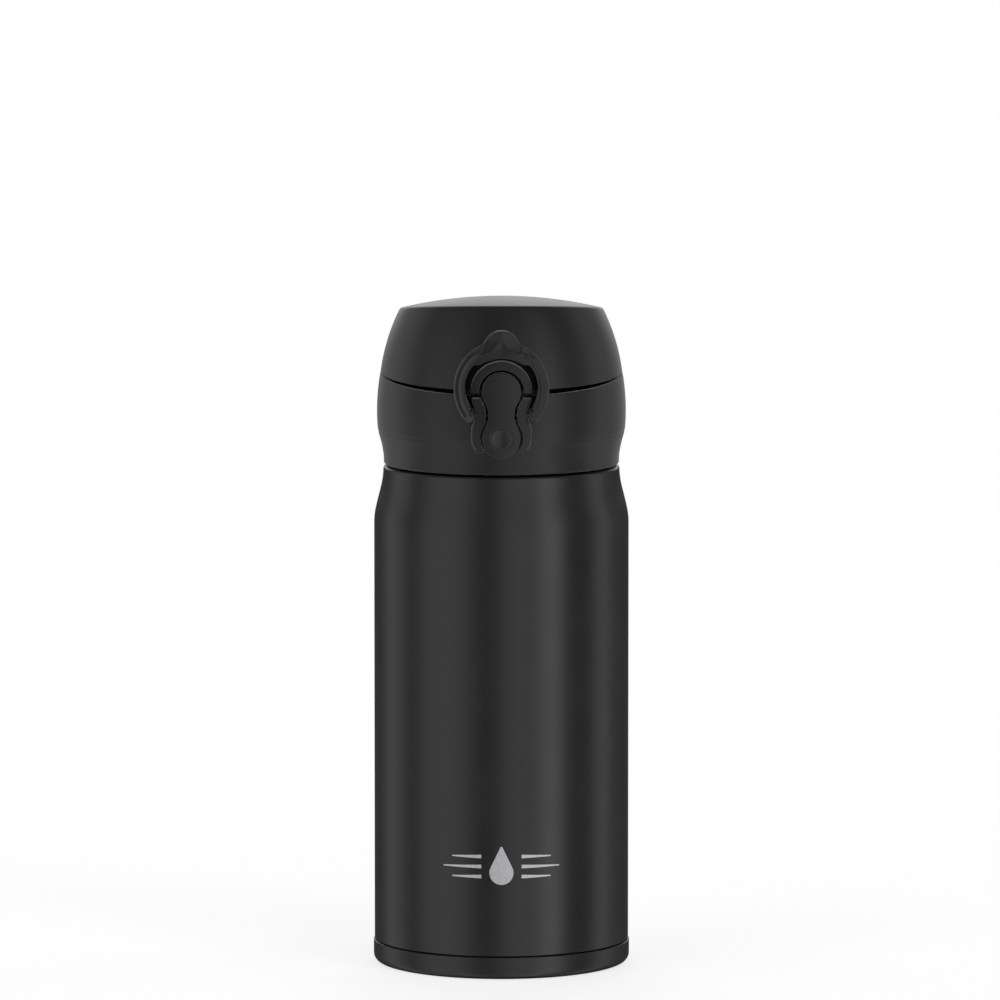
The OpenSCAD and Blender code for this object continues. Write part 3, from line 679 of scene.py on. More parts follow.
# ---------------------------------------------------------------- profile functions, mm
def shoulder(z):
    t = np.clip((z - SHOULDER_Z) / (128.9 - SHOULDER_Z), 0, 1)
    return BODY_R - (BODY_R - TOP_R) * smooth(t)


def barrel(z):
    return BARREL_R - BARREL_ARC + math.sqrt(BARREL_ARC ** 2 - (z - BARREL_Z) ** 2)


def flare(z):
    t = max(0.0, (z - 131.5) / (CREASE_Z - 131.5))
    return FOOT_R + 1.46 * t ** 1.6


def lid_r(z):
    return LID_R - LID_ARC + math.sqrt(LID_ARC ** 2 - (z - LID_ARC_Z) ** 2)


def lid_slope(z):
    """Outward normal of the lid's wall, (r, z)."""
    n = np.array([math.sqrt(LID_ARC ** 2 - (z - LID_ARC_Z) ** 2), z - LID_ARC_Z])
    return n / np.linalg.norm(n)


tilt = math.radians(LID_TILT)
rim_r = lid_r(LID_TOP_Z)
dome_rise = DOME_R - math.sqrt(DOME_R ** 2 - rim_r ** 2)
drop = DOME_R - dome_rise
DOME_C = np.array([0.0, RIM_Y - drop * math.sin(tilt), LID_TOP_Z - drop * math.cos(tilt)])


def dome_height(x, y, ball):
    return DOME_C[2] + math.sqrt(ball ** 2 - (x - DOME_C[0]) ** 2 - (y - DOME_C[1]) ** 2)


def split(y):
    return SPLIT_Z + y * math.tan(math.radians(SPLIT_TILT))


def collar_top(y):
    back = SPLIT_Z - 0.15 + y * math.tan(math.radians(SPLIT_TILT))
    front = SPLIT_Z - 0.3 + y * math.tan(math.radians(FRONT_TILT))
    return min(back, front)


def round_back(x, r=FACE_BOW):
    """How far a latch face curves back at x."""
    return x * x / (2 * r)


def slope_y(z, face):
    """Front face of the latch: upright above, easing back to the collar below."""
    t = np.clip((SLOPE_TOP + 1.2 - z) / (SLOPE_TOP + 1.2 - SLOPE_LOW), 0, 1)
    return face + SLOPE_IN * t ** 1.35


# ---------------------------------------------------------------- steel body
def shell_path():
    """Outline of the outer shell with its neck: out, up and back down inside."""
    out = [(31.9, 2.6), (31.9, 5.75)]
    low = rounded([(31.9, 5.75), (31.9, 6.02), (BODY_R, 6.02), (BODY_R, 12)], [0, 0.05, 0.4, 0], 6)
    out += low[1:]
    out += [(float(shoulder(z)), float(z)) for z in np.linspace(SHOULDER_Z, 128.6, 60)]
    for a in np.radians(np.linspace(8, 90, 12)):
        out.append((29.7 + 0.9 * math.cos(a), 128.9 + 0.9 * math.sin(a)))
    out += rounded([(29.7, BODY_H), (NECK_R, BODY_H), (NECK_R, NECK_Z - 0.5)], [0, 0.8, 0], 6)[1:]
    out += [(NECK_R - SHEET, NECK_Z - 0.5), (NECK_R - SHEET, BODY_H - SHEET), (29.3, BODY_H - SHEET)]
    out += [(float(shoulder(z)) - SHEET, float(z)) for z in np.linspace(128.0, SHOULDER_Z, 12)]
    out += [(BODY_R - SHEET, 6.9), (31.3, 6.5), (31.3, 2.6)]
    return out


def thread(name, r_root, r_crest, drop_z, start, material):
    """One smooth thread ridge along its helix, which fades in and out."""
    steps = 120
    section = rounded([(0, -0.95), (1, -0.5), (1, 0.5), (0, 0.95)], [0, 0.16, 0.16, 0], 4)
    points = []
    for i in range(steps + 1):
        a = math.radians(start) + 2 * math.pi * THREAD_TURNS * i / steps
        mid = THREAD_LOW - drop_z + THREAD_LEAD * THREAD_TURNS * i / steps
        h = min(1.0, 0.12 + i * 0.07, 0.12 + (steps - i) * 0.07)
        for q, dz in section:
            r = r_root + (r_crest - r_root) * q * h
            points.append((r * math.cos(a), r * math.sin(a), mid + dz * (0.35 + 0.65 * h)))
    faces = grid_faces(steps + 1, len(section)) + end_faces(steps + 1, len(section))
    return make_object(name, points, faces, material, None, 45.0)


shell = revolved("body_shell", shell_path(), PAINT, None, 256)
neck_threads = [thread(f"neck_thread_{k}", 24.2, 25.7, 0, 180 * k, PAINT) for k in range(2)]
shell = join("body_shell_painted", [shell] + neck_threads, "flask")
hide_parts("outer_shell")


def vessel_neck(r, levels):
    """The vessel's wall where it draws in to the mouth."""
    return [(r - 9.6 * smooth(t), VESSEL_TOP + 14 * t) for t in levels]


vessel_in = VESSEL_R - VESSEL_SHEET
vessel_path = rounded([(0.01, 8.0), (VESSEL_R, 8.0), (VESSEL_R, VESSEL_TOP)], [0, 7, 0], 14)
vessel_path += vessel_neck(VESSEL_R, np.linspace(0, 1, 30)[1:]) + [(20.5, 143.1), (NECK_R, 143.1)]
vessel_lip = [(NECK_R, 143.1), (NECK_R, 143.62), (20.0, 143.62), (20.0, 124.0)]
vessel_path += rounded(vessel_lip, [0, 0.24, 0.5, 0], 6)[1:]
vessel_path += vessel_neck(vessel_in, np.linspace(1, 0, 30)[1:])
vessel_path += rounded([(vessel_in, VESSEL_TOP), (vessel_in, 8.5), (0.01, 8.5)], [0, 6.5, 0], 14)[1:]
vessel = revolved("inner_vessel_steel", vessel_path, STEEL, "flask")
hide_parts("inner_vessel")

base_path = rounded([(0.01, 0.02), (20, 0.02), (20, 0.4), (21.5, 0.4), (21.5, 0.02), (BASE_R, 0.02),
                     (BASE_R, BASE_H), (32.35, BASE_H), (32.35, 0.9), (0.01, 0.9)],
                    [0, 0.12, 0.1, 0.1, 0.12, 2.1, 0.28, 0.15, 1.2, 0], 8)
base = revolved("base_cover_cup", base_path, BASE_MOULDING, "flask", 256)
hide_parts("base_cover")


# ---------------------------------------------------------------- lid
def lid_column(theta):
    """Closed outline of the lid in the half plane at angle theta: up the wall, over the rim to the middle,
    and back down inside."""
    sx, cy = math.sin(theta), -math.cos(theta)

    def dome(r, ball):
        return dome_height(r * sx, r * cy, ball)

    lo, hi = 160.0, 176.0
    for _ in range(50):
        z = (lo + hi) / 2
        n = lid_slope(z)
        r, zz = lid_r(z) - RIM_ROUND * n[0], z - RIM_ROUND * n[1]
        if zz < dome(max(r, 0), DOME_R - RIM_ROUND):
            lo = z
        else:
            hi = z
    z_top = (lo + hi) / 2
    n = lid_slope(z_top)
    centre = np.array([lid_r(z_top), z_top]) - RIM_ROUND * n
    e = 0.01
    g = (dome(centre[0] + e, DOME_R) - dome(centre[0] - e, DOME_R)) / (2 * e)
    up = np.array([-g, 1.0]) / math.hypot(g, 1)
    a0, a1 = math.atan2(n[1], n[0]), math.atan2(up[1], up[0])
    z0 = split(31.3 * cy) + 0.15 + 0.2 * max(0.0, -cy) ** 2
    path = []
    # rounded lower edge of the wall
    edge = 0.14
    for k in range(5):
        a = -math.pi / 2 + math.pi / 2 * k / 4
        path.append((lid_r(z0 + edge) - edge + edge * math.cos(a), z0 + edge + edge * math.sin(a)))
    for z in np.linspace(z0 + edge, z_top, 34)[1:]:
        path.append((lid_r(z), float(z)))
    for k in range(1, 11):
        a = a0 + (a1 - a0) * k / 10
        path.append((centre[0] + RIM_ROUND * math.cos(a), centre[1] + RIM_ROUND * math.sin(a)))
    last = path[-1][0]
    for t in np.linspace(1, 0, 26)[1:]:
        r = last * t
        path.append((max(r, 0.001), dome(max(r, 0.001), DOME_R)))
    # inner side, back down
    for t in np.linspace(0, 1, 14):
        r = max((last - WALL) * t, 0.001)
        path.append((r, dome(r, DOME_R - WALL)))
    for z in np.linspace(path[-1][1] - 2.0, z0, 14):
        path.append((lid_r(z) - WALL, float(z)))
    return path


def ring_channel(name, wall, z0, z1):
    """Cutter for the shallow channel that the lock ring closes over, following the wall."""
    ring_zone = circle_points(0, RING_Z, CHANNEL_R, 0, 360, 0.3)[:-1]
    cutter = prism(f"{name}_zone", ring_zone, -40.0, -25.0)
    zs = np.linspace(z0, z1, 40)
    path = [(0.01, z0)] + [(wall(z) - CHANNEL_DEPTH, float(z)) for z in zs] + [(0.01, z1)]
    return boolean(cutter, revolved(f"{name}_core", path, MOULDING))


lid = turned("lid_shell", lid_column, MOULDING)
lid = boolean(lid, bar("cut_hinge", -9.5, 9.5, 3.3, HINGE_Y, HINGE_Z, MOULDING, bevel=0, segments=96))
lid = boolean(lid, box_prism("cut_slot", 2.4, 153.1, 155.4, -34.0, -28.0))
reshade(lid, MOULDING, 28.0)
lid = boolean(lid, ring_channel("cut_lid_channel", lid_r, 148.0, 166.0))
reshade(lid, MOULDING, 28.0)


def arch_piece():
    """The half-round boss round the button's head: a rounded band swept along its arc."""
    foot_y = -29.6
    section = [(ARCH_IN, foot_y), (ARCH_IN, FACE_Y), (ARCH_R, FACE_Y), (ARCH_R, foot_y)]
    section = rounded(section, [0, 0.3, 0.1, 0], 7)
    steps = 120
    points = []
    for k in range(steps + 1):
        u = k / steps
        for q, y in section:
            stop = math.degrees(math.asin((ARCH_END_Z - HEAD_Z) / q))
            a = math.radians(stop + (180 - 2 * stop) * u)
            x = q * math.cos(a)
            points.append((x, y + (round_back(x) if y < -31 else 0.0), HEAD_Z + q * math.sin(a)))
    faces = grid_faces(steps + 1, len(section)) + end_faces(steps + 1, len(section))
    return make_object("lid_arch", points, faces, MOULDING, None, 32.0)


knuckles = []
for s in (-1, 1):
    xs = sorted((s * 2.7, s * 5.3))
    knuckles.append(bar(f"knuckle_{s}", *xs, 2.6, HINGE_Y, HINGE_Z, MOULDING))
    arm = [(-2.5, 156.3), (0.6, 158.7), (-0.6, 160.5), (-2.4, 162.9), (-3.4, 162.9)]
    arm = [(HINGE_Y + y, z) for y, z in arm]
    knuckles.append(side_prism(f"knuckle_arm_{s}", arm, *xs, MOULDING, 0.2))
lid = join("lid_cover_moulding", [lid, arch_piece()] + knuckles, "lid")
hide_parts("lid_cover")


# ---------------------------------------------------------------- collar
def collar_column(theta):
    """Closed outline of the collar in the half plane at angle theta, from its foot up."""
    cy = -math.cos(theta)
    z1 = collar_top(31.4 * cy)
    path = rounded([(28.6, FOOT_Z), (FOOT_R, FOOT_Z), (FOOT_R, 131.5), (30.5, 132.2)], [0, 0.55, 0, 0], 7)
    for z in np.linspace(132.4, CREASE_Z - 0.35, 22):
        path.append((flare(z), float(z)))
    # soft crease between the flared foot and the barrel
    for t in np.linspace(0, 1, 7)[1:]:
        z = CREASE_Z - 0.35 + 1.5 * t
        path.append((flare(CREASE_Z - 0.35) * (1 - smooth(t)) + barrel(z) * smooth(t), float(z)))
    edge = 0.14
    for z in np.linspace(CREASE_Z + 1.3, z1 - edge, 30):
        path.append((barrel(z), float(z)))
    for k in range(1, 6):
        a = math.pi / 2 * k / 5
        path.append((barrel(z1 - edge) - edge + edge * math.cos(a), z1 - edge + edge * math.sin(a)))
    path.append((30.3 + 0.25, z1))
    path.append((30.3, z1 - 0.25))
    path += [(30.3, DECK_LOW), (28.6, DECK_LOW), (28.6, 142.9), (30.3, 142.9), (30.3, 139.5), (28.6, 139.5)]
    return path


def button_outline(grow, step=0.2):
    return keyhole(HEAD_Z, HEAD_R, THUMB_Z, THUMB_R, WAIST, grow, step)


collar = turned("collar_shell_blank", collar_column, MOULDING)
collar = boolean(collar, box_prism("pocket_backing", 6.5, 131.3, 150.3, -29.9, -28.65), "UNION")
collar = boolean(collar, prism("cut_pocket", button_outline(GAP, 0.25), -40.0, POCKET_Y))
collar = boolean(collar, bar("cut_relief", -5.6, 5.6, 2.95, HINGE_Y, HINGE_Z, MOULDING, bevel=0, segments=96))
reshade(collar, MOULDING, 28.0)


def outline_width(outline, z):
    """Largest x where a closed outline crosses the height z."""
    p = np.array(outline)
    q = np.roll(p, -1, 0)
    best = 0.0
    for (x0, z0), (x1, z1) in zip(p, q):
        if (z0 - z) * (z1 - z) <= 0 and abs(z1 - z0) > 1e-9:
            best = max(best, x0 + (x1 - x0) * (z - z0) / (z1 - z0))
    return best


collar = boolean(collar, ring_channel("cut_collar_channel", barrel, 140.0, 156.0))
reshade(collar, MOULDING, 28.0)

tight_line = np.array(button_outline(0.0), float)
swell = np.array([[thumb_swell(z)] for z in tight_line[:, 1]])
button_line = [tuple(q) for q in tight_line + outward(tight_line) * swell]
button_room = button_outline(GAP + 0.08)
cheek_line = keyhole(HEAD_Z, ARCH_R, CHEEK_Z, CHEEK_R, CHEEK_WAIST, 0.0, 0.2)


def cheek_groove(side):
    """Cutter that clears the collar's wall behind one cheek."""
    zs = np.linspace(CHEEK_LOW - 0.2, 151.6, 60)
    outer = [(side * (outline_width(cheek_line, z) + 0.2), z) for z in zs]
    inner = [(side * (outline_width(button_room, z) - 0.3), z) for z in zs[::-1]]
    line = outer + inner
    return prism(f"cut_groove_{side}", line if side > 0 else line[::-1], -40.0, -29.6)


for hand in (-1, 1):
    collar = boolean(collar, cheek_groove(hand))
reshade(collar, MOULDING, 28.0)


def outer_edge(d, top):
    """Edge of a moulded face: a steep foot, then a narrow chamfer; the foot is wider at the tab's top."""
    foot = 0.1 + 0.3 * top
    return (5.0 - 2.4 * top) * max(0.0, foot - d) + 1.5 * max(0.0, min(0.3, foot + 0.3 - d))


def cheek(side):
    """One of the two curved cheeks beside the button."""
    zs = np.linspace(CHEEK_LOW, CHEEK_TOP, 90)
    outer = [(outline_width(cheek_line, z), z) for z in zs]
    inner = [(outline_width(button_room, z), z) for z in zs[::-1]]
    line = round_corners(outer + inner, lambda x, z: 0.45 if z < CHEEK_LOW + 0.3 and x > 5 else 0.12)
    line = [(side * x, z) for x, z in line]
    if side < 0:
        line = line[::-1]

    def face(x, z, d):
        ends = z < CHEEK_LOW + 0.35 or z > CHEEK_TOP - 0.35
        outside = abs(x) > 6.2 and not ends
        edge_drop = outer_edge(d, 0.0) if outside else (0.0 if ends else 0.8 * max(0.0, 0.16 - d))
        return float(slope_y(z, CHEEK_FACE)) + round_back(x) + edge_drop

    return relief(f"cheek_{side}", line, face, lambda x, z, d: POCKET_Y - 0.02,
                  MOULDING, 0.06, steps=(0.1, 0.17, 0.24, 0.34, 0.44))


def ear(side):
    """One of the two ears that hold the hinge pin, with its block."""
    xs = sorted((side * 5.6, side * 9.2))
    block = [(HINGE_Y + y, HINGE_Z + z) for y, z in ((-2.7, 0), (-2.7, -9), (1.3, -9), (1.3, 0))]
    return [bar(f"ear_{side}", *xs, 2.7, HINGE_Y, HINGE_Z, MOULDING, bevel=0.3),
            side_prism(f"ear_block_{side}", block, *xs, MOULDING, 0.25)]


collar = join("collar_moulding", [collar, cheek(-1), cheek(1)] + ear(-1) + ear(1), "cap")
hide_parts("collar_shell")


# ---------------------------------------------------------------- button
def dimple(x, z):
    """Finger dimple at the thumb end, inside a fine groove."""
    r = math.hypot(x, z - THUMB_Z)
    groove = 0.07 * math.exp(-((r - 2.88) / 0.16) ** 2)
    bowl = 0.5 * (1 - (r / 2.5) ** 2) + 0.05 * (1 if r < 2.42 else 0) if r < 2.5 else 0.0
    return groove + bowl


dimple_rows = [np.array(circle_points(0, THUMB_Z, r, 0, 360)[:-1])
               for r in (0.4, 0.8, 1.2, 1.6, 2.0, 2.3, 2.45, 2.6, 2.75, 2.9, 3.05, 3.2)]


def button_front(x, z, d):
    return float(slope_y(z, FACE_Y)) + dimple(x, z) + round_back(x)


def button_back(x, z, d):
    """Back of the button: thick at the pin, thin behind the thumb end and behind the claw."""
    heights = (135.1, 138.5, 142.5, 143.7, 148.5, 150.0, 158.0)
    depths = (-30.8, -31.9, -31.9, -31.0, -31.0, -32.4, -32.4)
    return float(np.interp(z, heights, depths))


button = relief("button_plate", button_line, button_front, button_back, LATCH_MOULDING, 0.2,
                extra=dimple_rows)
claw_side = [(-32.5, 153.6), (-32.0, 153.6), (-31.95, 154.0), (-32.1, 154.8), (-32.5, 154.8)]
claw = side_prism("button_claw", claw_side, -1.9, 1.9, LATCH_MOULDING, 0.12)
button = join("release_button_moulding", [button, claw], "button")
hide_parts("release_button")


# ---------------------------------------------------------------- lock ring
def ring_radius(x, z):
    """Distance from the ring's centre, with the slight stretch of its lower half."""
    return math.hypot(x, (z - RING_Z) / (RING_LOW if z < RING_Z else 1.0))


def ring_arc(r, a0, a1):
    """Arc of the ring about its centre, lower half stretched."""
    return [(x, RING_Z + (z - RING_Z) * (RING_LOW if z < RING_Z else 1.0))
            for x, z in circle_points(0, RING_Z, r, a0, a1, 0.25)]


def mirrored(line):
    """The same line on the other side, run the other way."""
    return [(-x, z) for x, z in reversed(line)]


def ring_line():
    """Closed outline of the ring, from its right lower end round over the thumb tab."""
    a_low = math.degrees(math.asin((144.9 - RING_Z) / RING_LOW / RING_R))
    a_tab = math.degrees(math.acos(5.2 / RING_R))
    right = ring_arc(RING_R, a_low, a_tab)
    right += [(4.72, 164.7), (4.35, 165.3), (3.95, 165.95), (3.5, 166.55), (2.95, 167.15), (2.25, 167.65),
              (1.45, 167.97), (0.7, 168.1)]
    a_in = -math.degrees(math.acos(ARM_IN / RING_IN))
    a_step = math.degrees(math.asin((CROWN_STEP_Z - RING_Z) / RING_IN))
    inner = ring_arc(RING_IN, a_in, a_step) + [(6.75, 159.22)]
    a_crown = math.degrees(math.acos(CROWN_X / CROWN_R))
    crown = circle_points(0, CROWN_Z, CROWN_R, 180 - a_crown, a_crown, 0.25)
    low = [(ARM_IN, 147.95), (7.55, 147.75), (EYE_IN, 147.3), (EYE_IN, 145.3), (7.35, 144.7), (7.9, 144.05),
           (8.75, 143.8)]
    inner_left = [(-x, z) for x, z in inner]
    return right + mirrored(right) + mirrored(low) + inner_left + crown + inner[::-1] + low


def ridge_x(z):
    """Where the middle face of the ring meets its outer slope."""
    heights = (161.0, 161.9, 162.6, 163.4, 164.2, 165.0, 166.2, 167.4)
    return float(np.interp(z, heights, (6.3, 4.8, 3.1, 2.0, 1.25, 0.75, 0.3, 0.05)))


def eye_reach(x, z):
    """Half depth of the pivot eye at (x, z): it is round about its axis and coned towards the cheek."""
    r = np.interp(abs(x), [EYE_IN, 7.5, ARM_IN], [1.25, 1.72, 1.78])
    return math.sqrt(max(0.04, r * r - (z - PIVOT_Z) ** 2))


def ring_front(x, z, d):
    """Front of the ring: chamfered edge, groove, a flat middle face up to the tab, and the tab's flare."""
    y = RING_FRONT + round_back(x, 75.0)
    r = ring_radius(x, z)
    if z < 151.0:
        y += (151.0 - z) * 0.28
    up = max(0.0, z - 163.2)
    y -= 0.030 * up ** 2 * max(0.0, 1 - (abs(x) / 5.5) ** 2)
    if (r > 10.7 and abs(x) > 8.2) or z > 161.6:
        y += outer_edge(d, smooth(min(1.0, max(0.0, (z - 166.2) / 1.2))))
    else:
        y += 1.0 * max(0.0, 0.14 - d)
    if z < 163.0:
        end = 162.3 if r < GROOVE_R else 163.0
        low = smooth(min(1.0, max(0.0, (z - 145.6) / 1.2))) * smooth(min(1.0, max(0.0, (end - z) / 1.0)))
        y += 0.42 * low * max(0.0, 1 - math.hypot(abs(r - GROOVE_R), 0.08) / 0.62)
    if z > 160.6:
        gain = smooth(min(1.0, (z - 160.6) / 1.4))
        y += 0.18 * gain * max(0.0, abs(x) - ridge_x(z))
        y += 0.75 * gain * math.exp(-((z - 164.0) / 2.0) ** 2) * max(0.0, 1 - abs(x) / 5.2) ** 0.5
    if z < 149.0:
        # chamfer between the arm and its pivot end
        cut = (abs(x) - 7.23) * -0.739 + (z - 147.9) * -0.674
        y += 0.45 * max(0.0, cut)
        if abs(x) < ARM_IN + 0.02:
            y = max(y, PIVOT_Y - min(eye_reach(x, z), 1.42))
        y = min(y, PIVOT_Y - 0.3)
    return y


def ring_back(x, z, d):
    """Back of the ring, which follows the collar's and the lid's wall."""
    y = RING_BACK + 0.4 * round_back(x, 75.0)
    if z < 157.0:
        y += (157.0 - z) * 0.315
    y = min(y, -31.55)
    if z > 163.2:
        y -= 0.026 * (z - 163.2) ** 2
    return y


ring_outline = round_corners(ring_line(), lambda x, z: 0.3 if z < 146 else (0.6 if z > 162 else 0.18))
groove_radii = [GROOVE_R + k * 0.155 for k in range(-4, 5)]
groove_rows = [np.array(ring_arc(r, -58, 75) + ring_arc(r, 105, 238)) for r in groove_radii]
ring = relief("ring_plate", ring_outline, ring_front, ring_back, LATCH_MOULDING, 0.06, cell=0.24,
              back_bevel=0.2, edge_step=0.15, extra=groove_rows, steps=(0.1, 0.17, 0.24, 0.34, 0.4, 0.5, 0.64))
studs = [bar(f"stud_{k}", x, x + 2.65, 0.9, PIVOT_Y, PIVOT_Z, LATCH_MOULDING, bevel=0.15)
         for k, x in enumerate((-7.6, 4.95))]
ring = join("lock_ring_moulding", [ring] + studs, "lock_ring")
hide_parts("lock_ring")


# ---------------------------------------------------------------- inside the cap
core_path = rounded([(16.4, 133.6), (18.4, 133.6), (18.4, 135.0), (17.0, 135.0), (17.0, 138.0), (18.4, 138.0),
                     (18.4, DECK_LOW), (26.3, DECK_LOW), (26.3, 131.2), (28.0, 131.2), (28.0, DECK_LOW),
                     (30.2, DECK_LOW), (30.2, DECK_TOP), (16.4, DECK_TOP)],
                    [0, 0.4, 0.2, 0.15, 0.15, 0.2, 0.8, 0.8, 0.4, 0.4, 0.5, 0.1, 0.3, 0])
core = revolved("cap_core_blank", core_path, INNER_MOULDING)
core = boolean(core, box_prism("cut_core", 6.6, 143.7, 147.5, -34.0, -28.55))
reshade(core, INNER_MOULDING)
cap_threads = [thread(f"cap_thread_{k}", 26.5, 25.0, 1.5, 180 * k, INNER_MOULDING) for k in range(2)]
core = join("cap_core_moulding", [core] + cap_threads, "cap")
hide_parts("cap_core")

spout_path = rounded([(15.0, 142.2), (16.3, 142.2), (16.3, DECK_TOP), (17.3, DECK_TOP), (17.3, 147.4),
                      (19.7, 147.4), (19.7, DECK_TOP), (22.0, DECK_TOP), (22.0, 148.4), (17.2, 148.4),
                      (17.2, 157.0), (17.9, 160.2), (17.3, 161.0), (16.0, 161.0), (15.4, 160.0), (15.4, 151.2),
                      (0.01, 151.2), (0.01, 150.0), (15.0, 150.0)],
                     [0, 0.3] + [0.1] * 5 + [0.3, 0.6, 1.2, 3.0, 0.5, 0.5, 0.5, 0.8, 0.9, 0, 0, 0.4], 6)
spout = revolved("mouthpiece_blank", spout_path, INNER_MOULDING)
spout = boolean(spout, post("cut_drink", 0, -9, 4.5, (149, 152.5), 64, INNER_MOULDING))
spout = boolean(spout, post("cut_vent", 0, 10.5, 1.1, (149, 152.5), 32, INNER_MOULDING))
reshade(spout, INNER_MOULDING)
spout.name = "mouthpiece_moulding"
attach(spout, "cap")
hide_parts("mouthpiece")

gasket_path = [(17.45, 146.45), (19.55, 146.45), (19.55, 147.3), (17.45, 147.3), (17.45, 146.9)]
gasket_path = rounded(gasket_path, 0.3, 4)
gasket = revolved("spout_gasket", gasket_path, SILICONE, "cap", 128)
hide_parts("spout_seal")

seal_path = [(17.05, 136.5), (17.05, 135.2), (19.1, 135.2), (19.7, 135.65), (19.7, 136.1), (19.1, 136.15),
             (19.1, 136.9), (19.7, 136.95), (19.7, 137.4), (19.1, 137.8), (17.05, 137.8), (17.05, 136.6)]
seal_path = rounded(seal_path, 0.15, 4)
stopper = revolved("stopper_ring", seal_path, SILICONE, "neck_seal", 160)
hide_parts("stopper_seal")

liner_path = rounded([(0.01, 154.6), (12.4, 154.6), (12.4, 163.0), (25.2, 163.0), (25.2, 159.5), (26.4, 159.5),
                      (26.4, 164.4), (11.0, 164.4), (11.0, 156.0), (0.01, 156.0)],
                     [0, 0.5, 1.0, 0.6, 0.3, 0.3, 0.3, 0.3, 0.3, 0], 6)
liner = revolved("lid_liner_moulding", liner_path, INNER_MOULDING, "lid", 160)
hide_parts("lid_liner")

pad_path = rounded([(0.01, 153.2), (11.8, 153.2), (11.8, 151.5), (13.3, 151.5), (13.4, 154.58), (0.01, 154.58)],
                   [0, 0.6, 0.5, 0.5, 0.4, 0], 6)
pad = revolved("lid_seal_pad", pad_path, SILICONE, "lid", 160)
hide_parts("lid_seal")

hinge_rod = bar("hinge_pin_rod", -9.1, 9.1, 1.1, HINGE_Y, HINGE_Z, PIN_STEEL, "cap", bevel=0.2)
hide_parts("hinge_pin")
button_rod = bar("button_pin_rod", -4.55, 4.55, 0.75, -32.3, PIVOT_Z, DARK_STEEL, "cap", bevel=0.12)
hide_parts("button_pin")

hinge_place = Matrix.Translation((-1.9, HINGE_Y, HINGE_Z)) @ Matrix.Rotation(math.pi / 2, 4, "Y")
coil_a = helix("hinge_coil", 1.75, 0.3, 4, 3.8, SPRING_STEEL, None, hinge_place)


leg_levels = np.linspace(HINGE_Z - 2.85, HINGE_Z - 1.7, 4)
legs = [post(f"hinge_leg_{x}", x, HINGE_Y, 0.3, leg_levels, 14, SPRING_STEEL, 60.0) for x in (-1.6, 1.6)]
torsion = join("hinge_spring_wire", [coil_a] + legs, "cap")
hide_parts("hinge_spring")

coil_place = Matrix.Translation((0, POCKET_Y, SPRING_Z)) @ Matrix.Rotation(math.pi / 2, 4, "X")
coil_b = helix("button_spring_wire", 1.4, 0.2, 3, 2.55, SPRING_STEEL, "cap", coil_place)
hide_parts("button_spring")
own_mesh(coil_b)

plain_nodes = (("foil_wrap", FOIL), ("getter", GETTER), ("bottom_plate", STEEL), ("vacuum_seal", BEAD))
for node, material in plain_nodes:
    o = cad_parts[node]
    o.data.materials.clear()
    o.data.materials.append(material)
    for p in o.data.polygons:
        p.material_index = 0


# ---------------------------------------------------------------- printed mark: a drop between tapering bars
def wrap(name, outline, radius, material):
    """A thin printed patch that follows the body's curve."""
    edge = resample(outline, 0.12)
    lo, hi = edge.min(0), edge.max(0)
    gx, gz = np.meshgrid(np.arange(lo[0], hi[0], 0.4), np.arange(lo[1], hi[1], 0.4))
    cloud = np.stack([gx.ravel(), gz.ravel()], 1)
    cloud = cloud[inside(cloud, edge)]
    if len(cloud):
        cloud = cloud[distance_to(cloud, edge) > 0.12]
    verts, faces = triangulated(edge, [cloud])
    points = [(radius * math.sin(x / radius), -radius * math.cos(x / radius), z) for x, z in verts]
    return make_object(name, points, faces, material, None, 60.0)


def printed_mark():
    """The drop with three bars on each side, printed low on the front."""
    z = 29.5
    height = 0.95
    drop_line = circle_points(0, z - 1.6, 3.1, -205, 25, 0.15) + [(0.0, z + 5.6)]
    parts = [wrap("mark_drop", round_corners(drop_line, 0.3), BODY_R + 0.02, PRINT)]
    for s in (-1, 1):
        for k, (rise, end) in enumerate(((2.6, 13.0), (0.0, 15.4), (-2.6, 13.0))):
            bar_line = [(5.2, -0.5), (end, -0.16), (end, 0.16), (5.2, 0.5)]
            line = [(s * x, z + rise + share * height) for x, share in bar_line][::s]
            parts.append(wrap(f"mark_bar_{s}_{k}", line, BODY_R + 0.02, PRINT))
    return join("printed_mark", parts, "flask")


mark = printed_mark()


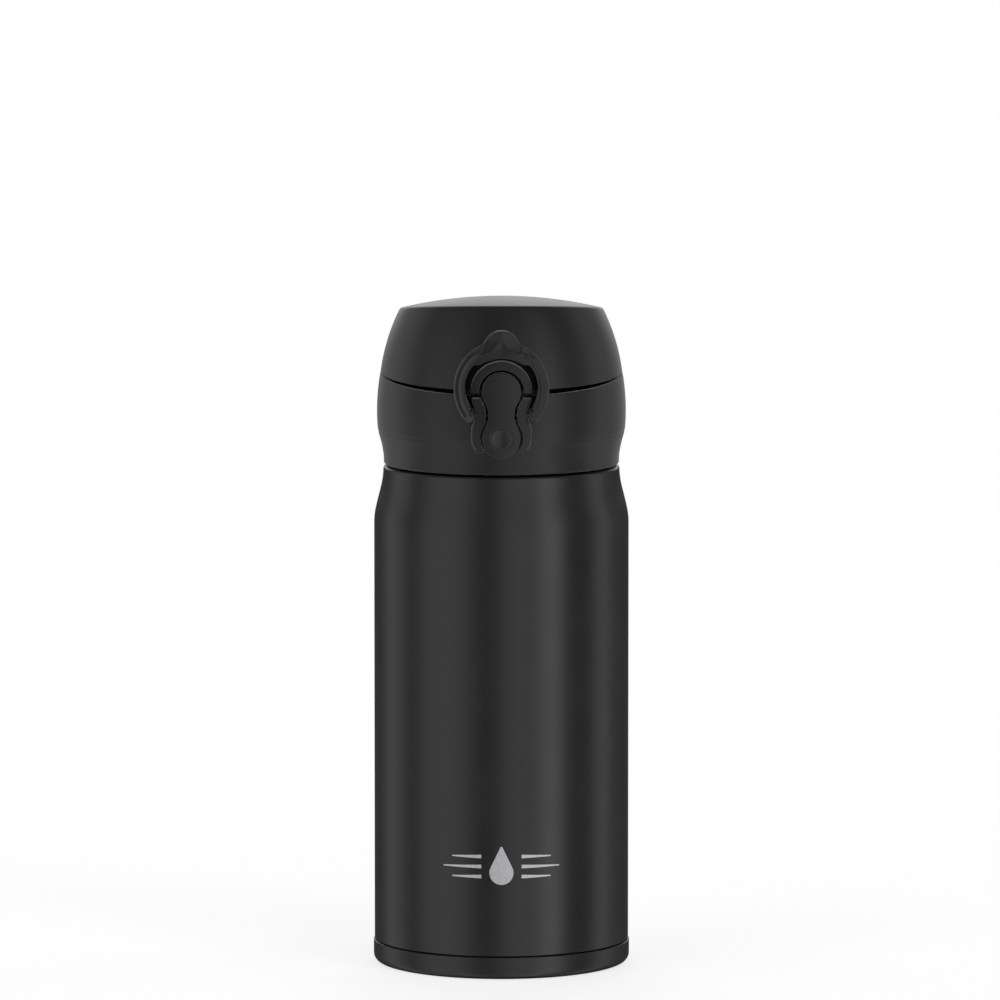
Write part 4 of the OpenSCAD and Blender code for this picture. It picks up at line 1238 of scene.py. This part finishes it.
# ---------------------------------------------------------------- studio
def stage_plane(name, points, colour, rough, glow):
    me = bpy.data.meshes.new(name)
    me.from_pydata(points, [], [tuple(range(len(points)))])
    s = Surface(name + "_surface")
    slow = s.noise(s.coords(), 3.0)
    s.set({"Base Color": s.tint(slow, tuple(c * 0.995 for c in colour), colour), "Roughness": rough,
           "Specular IOR Level": 0.2, "Emission Color": (1, 1, 1, 1), "Emission Strength": glow})
    me.materials.append(s.material)
    o = bpy.data.objects.new(name, me)
    bpy.context.scene.collection.objects.link(o)
    return o


floor_corners = [(-6, -6, 0), (6, -6, 0), (6, 6, 0), (-6, 6, 0)]
floor = stage_plane("studio_floor", floor_corners, (0.62, 0.62, 0.62), 0.8, 0.71)
floor.visible_glossy = False
floor.visible_diffuse = False


# A white cyclorama to look at, and soft boxes by compass direction to light and reflect.
AMBIENT = 0.26
BOXES = (  # middle, half width, softness (degrees from the front, right positive), level
    (-112, 15, 8, 0.42),
    (-53, 25, 12, 0.72),
    (15, 16, 9, 0.68),
    (46, 11, 6, 1.50),
    (103, 11, 7, 0.60),
)

world = bpy.data.worlds.new("studio")
bpy.context.scene.world = world
world.use_nodes = True
sky = Graph(world.node_tree)
way_x, way_y, way_z = sky.split(sky.coords("Generated"))
turn = sky.math("DEGREES", sky.math("ARCTAN2", way_x, sky.math("MULTIPLY", way_y, -1.0)))
rise = sky.math("DEGREES", sky.math("ARCSINE", way_z))
aside = sky.math("ABSOLUTE", turn)
light = sky.step(aside, 122, 150, AMBIENT, 0.09)
for middle, half, soft, level in BOXES:
    off = sky.math("ABSOLUTE", sky.math("SUBTRACT", turn, middle))
    light = sky.math("ADD", light, sky.step(off, half - soft, half + soft, level, 0.0))
light = sky.math("MULTIPLY", light, sky.step(rise, 18, 62, 1.0, 0.3))
light = sky.math("MULTIPLY", light, sky.step(rise, -85, -60, 0.6, 1.0))
# a pale wall behind the flask, which lights its top
wall = sky.math("MULTIPLY", sky.step(aside, 140, 160, 0.0, 1.0), sky.step(rise, 1.0, 6.0, 0.0, 1.0))
light = sky.math("ADD", light, sky.math("MULTIPLY", wall, sky.step(rise, 40, 62, 1.0, 0.2)))
seen = sky.node("LightPath").outputs["Is Camera Ray"]
light = sky.mix("FLOAT", seen, light, 1.0)
sky.feed(sky.nodes["Background"].inputs, {"Strength": light, "Color": (1, 1, 1, 1)})

bpy.context.scene.view_settings.view_transform = "Standard"
bpy.context.scene.view_settings.look = "None"
bpy.context.scene.view_settings.exposure = 0.0
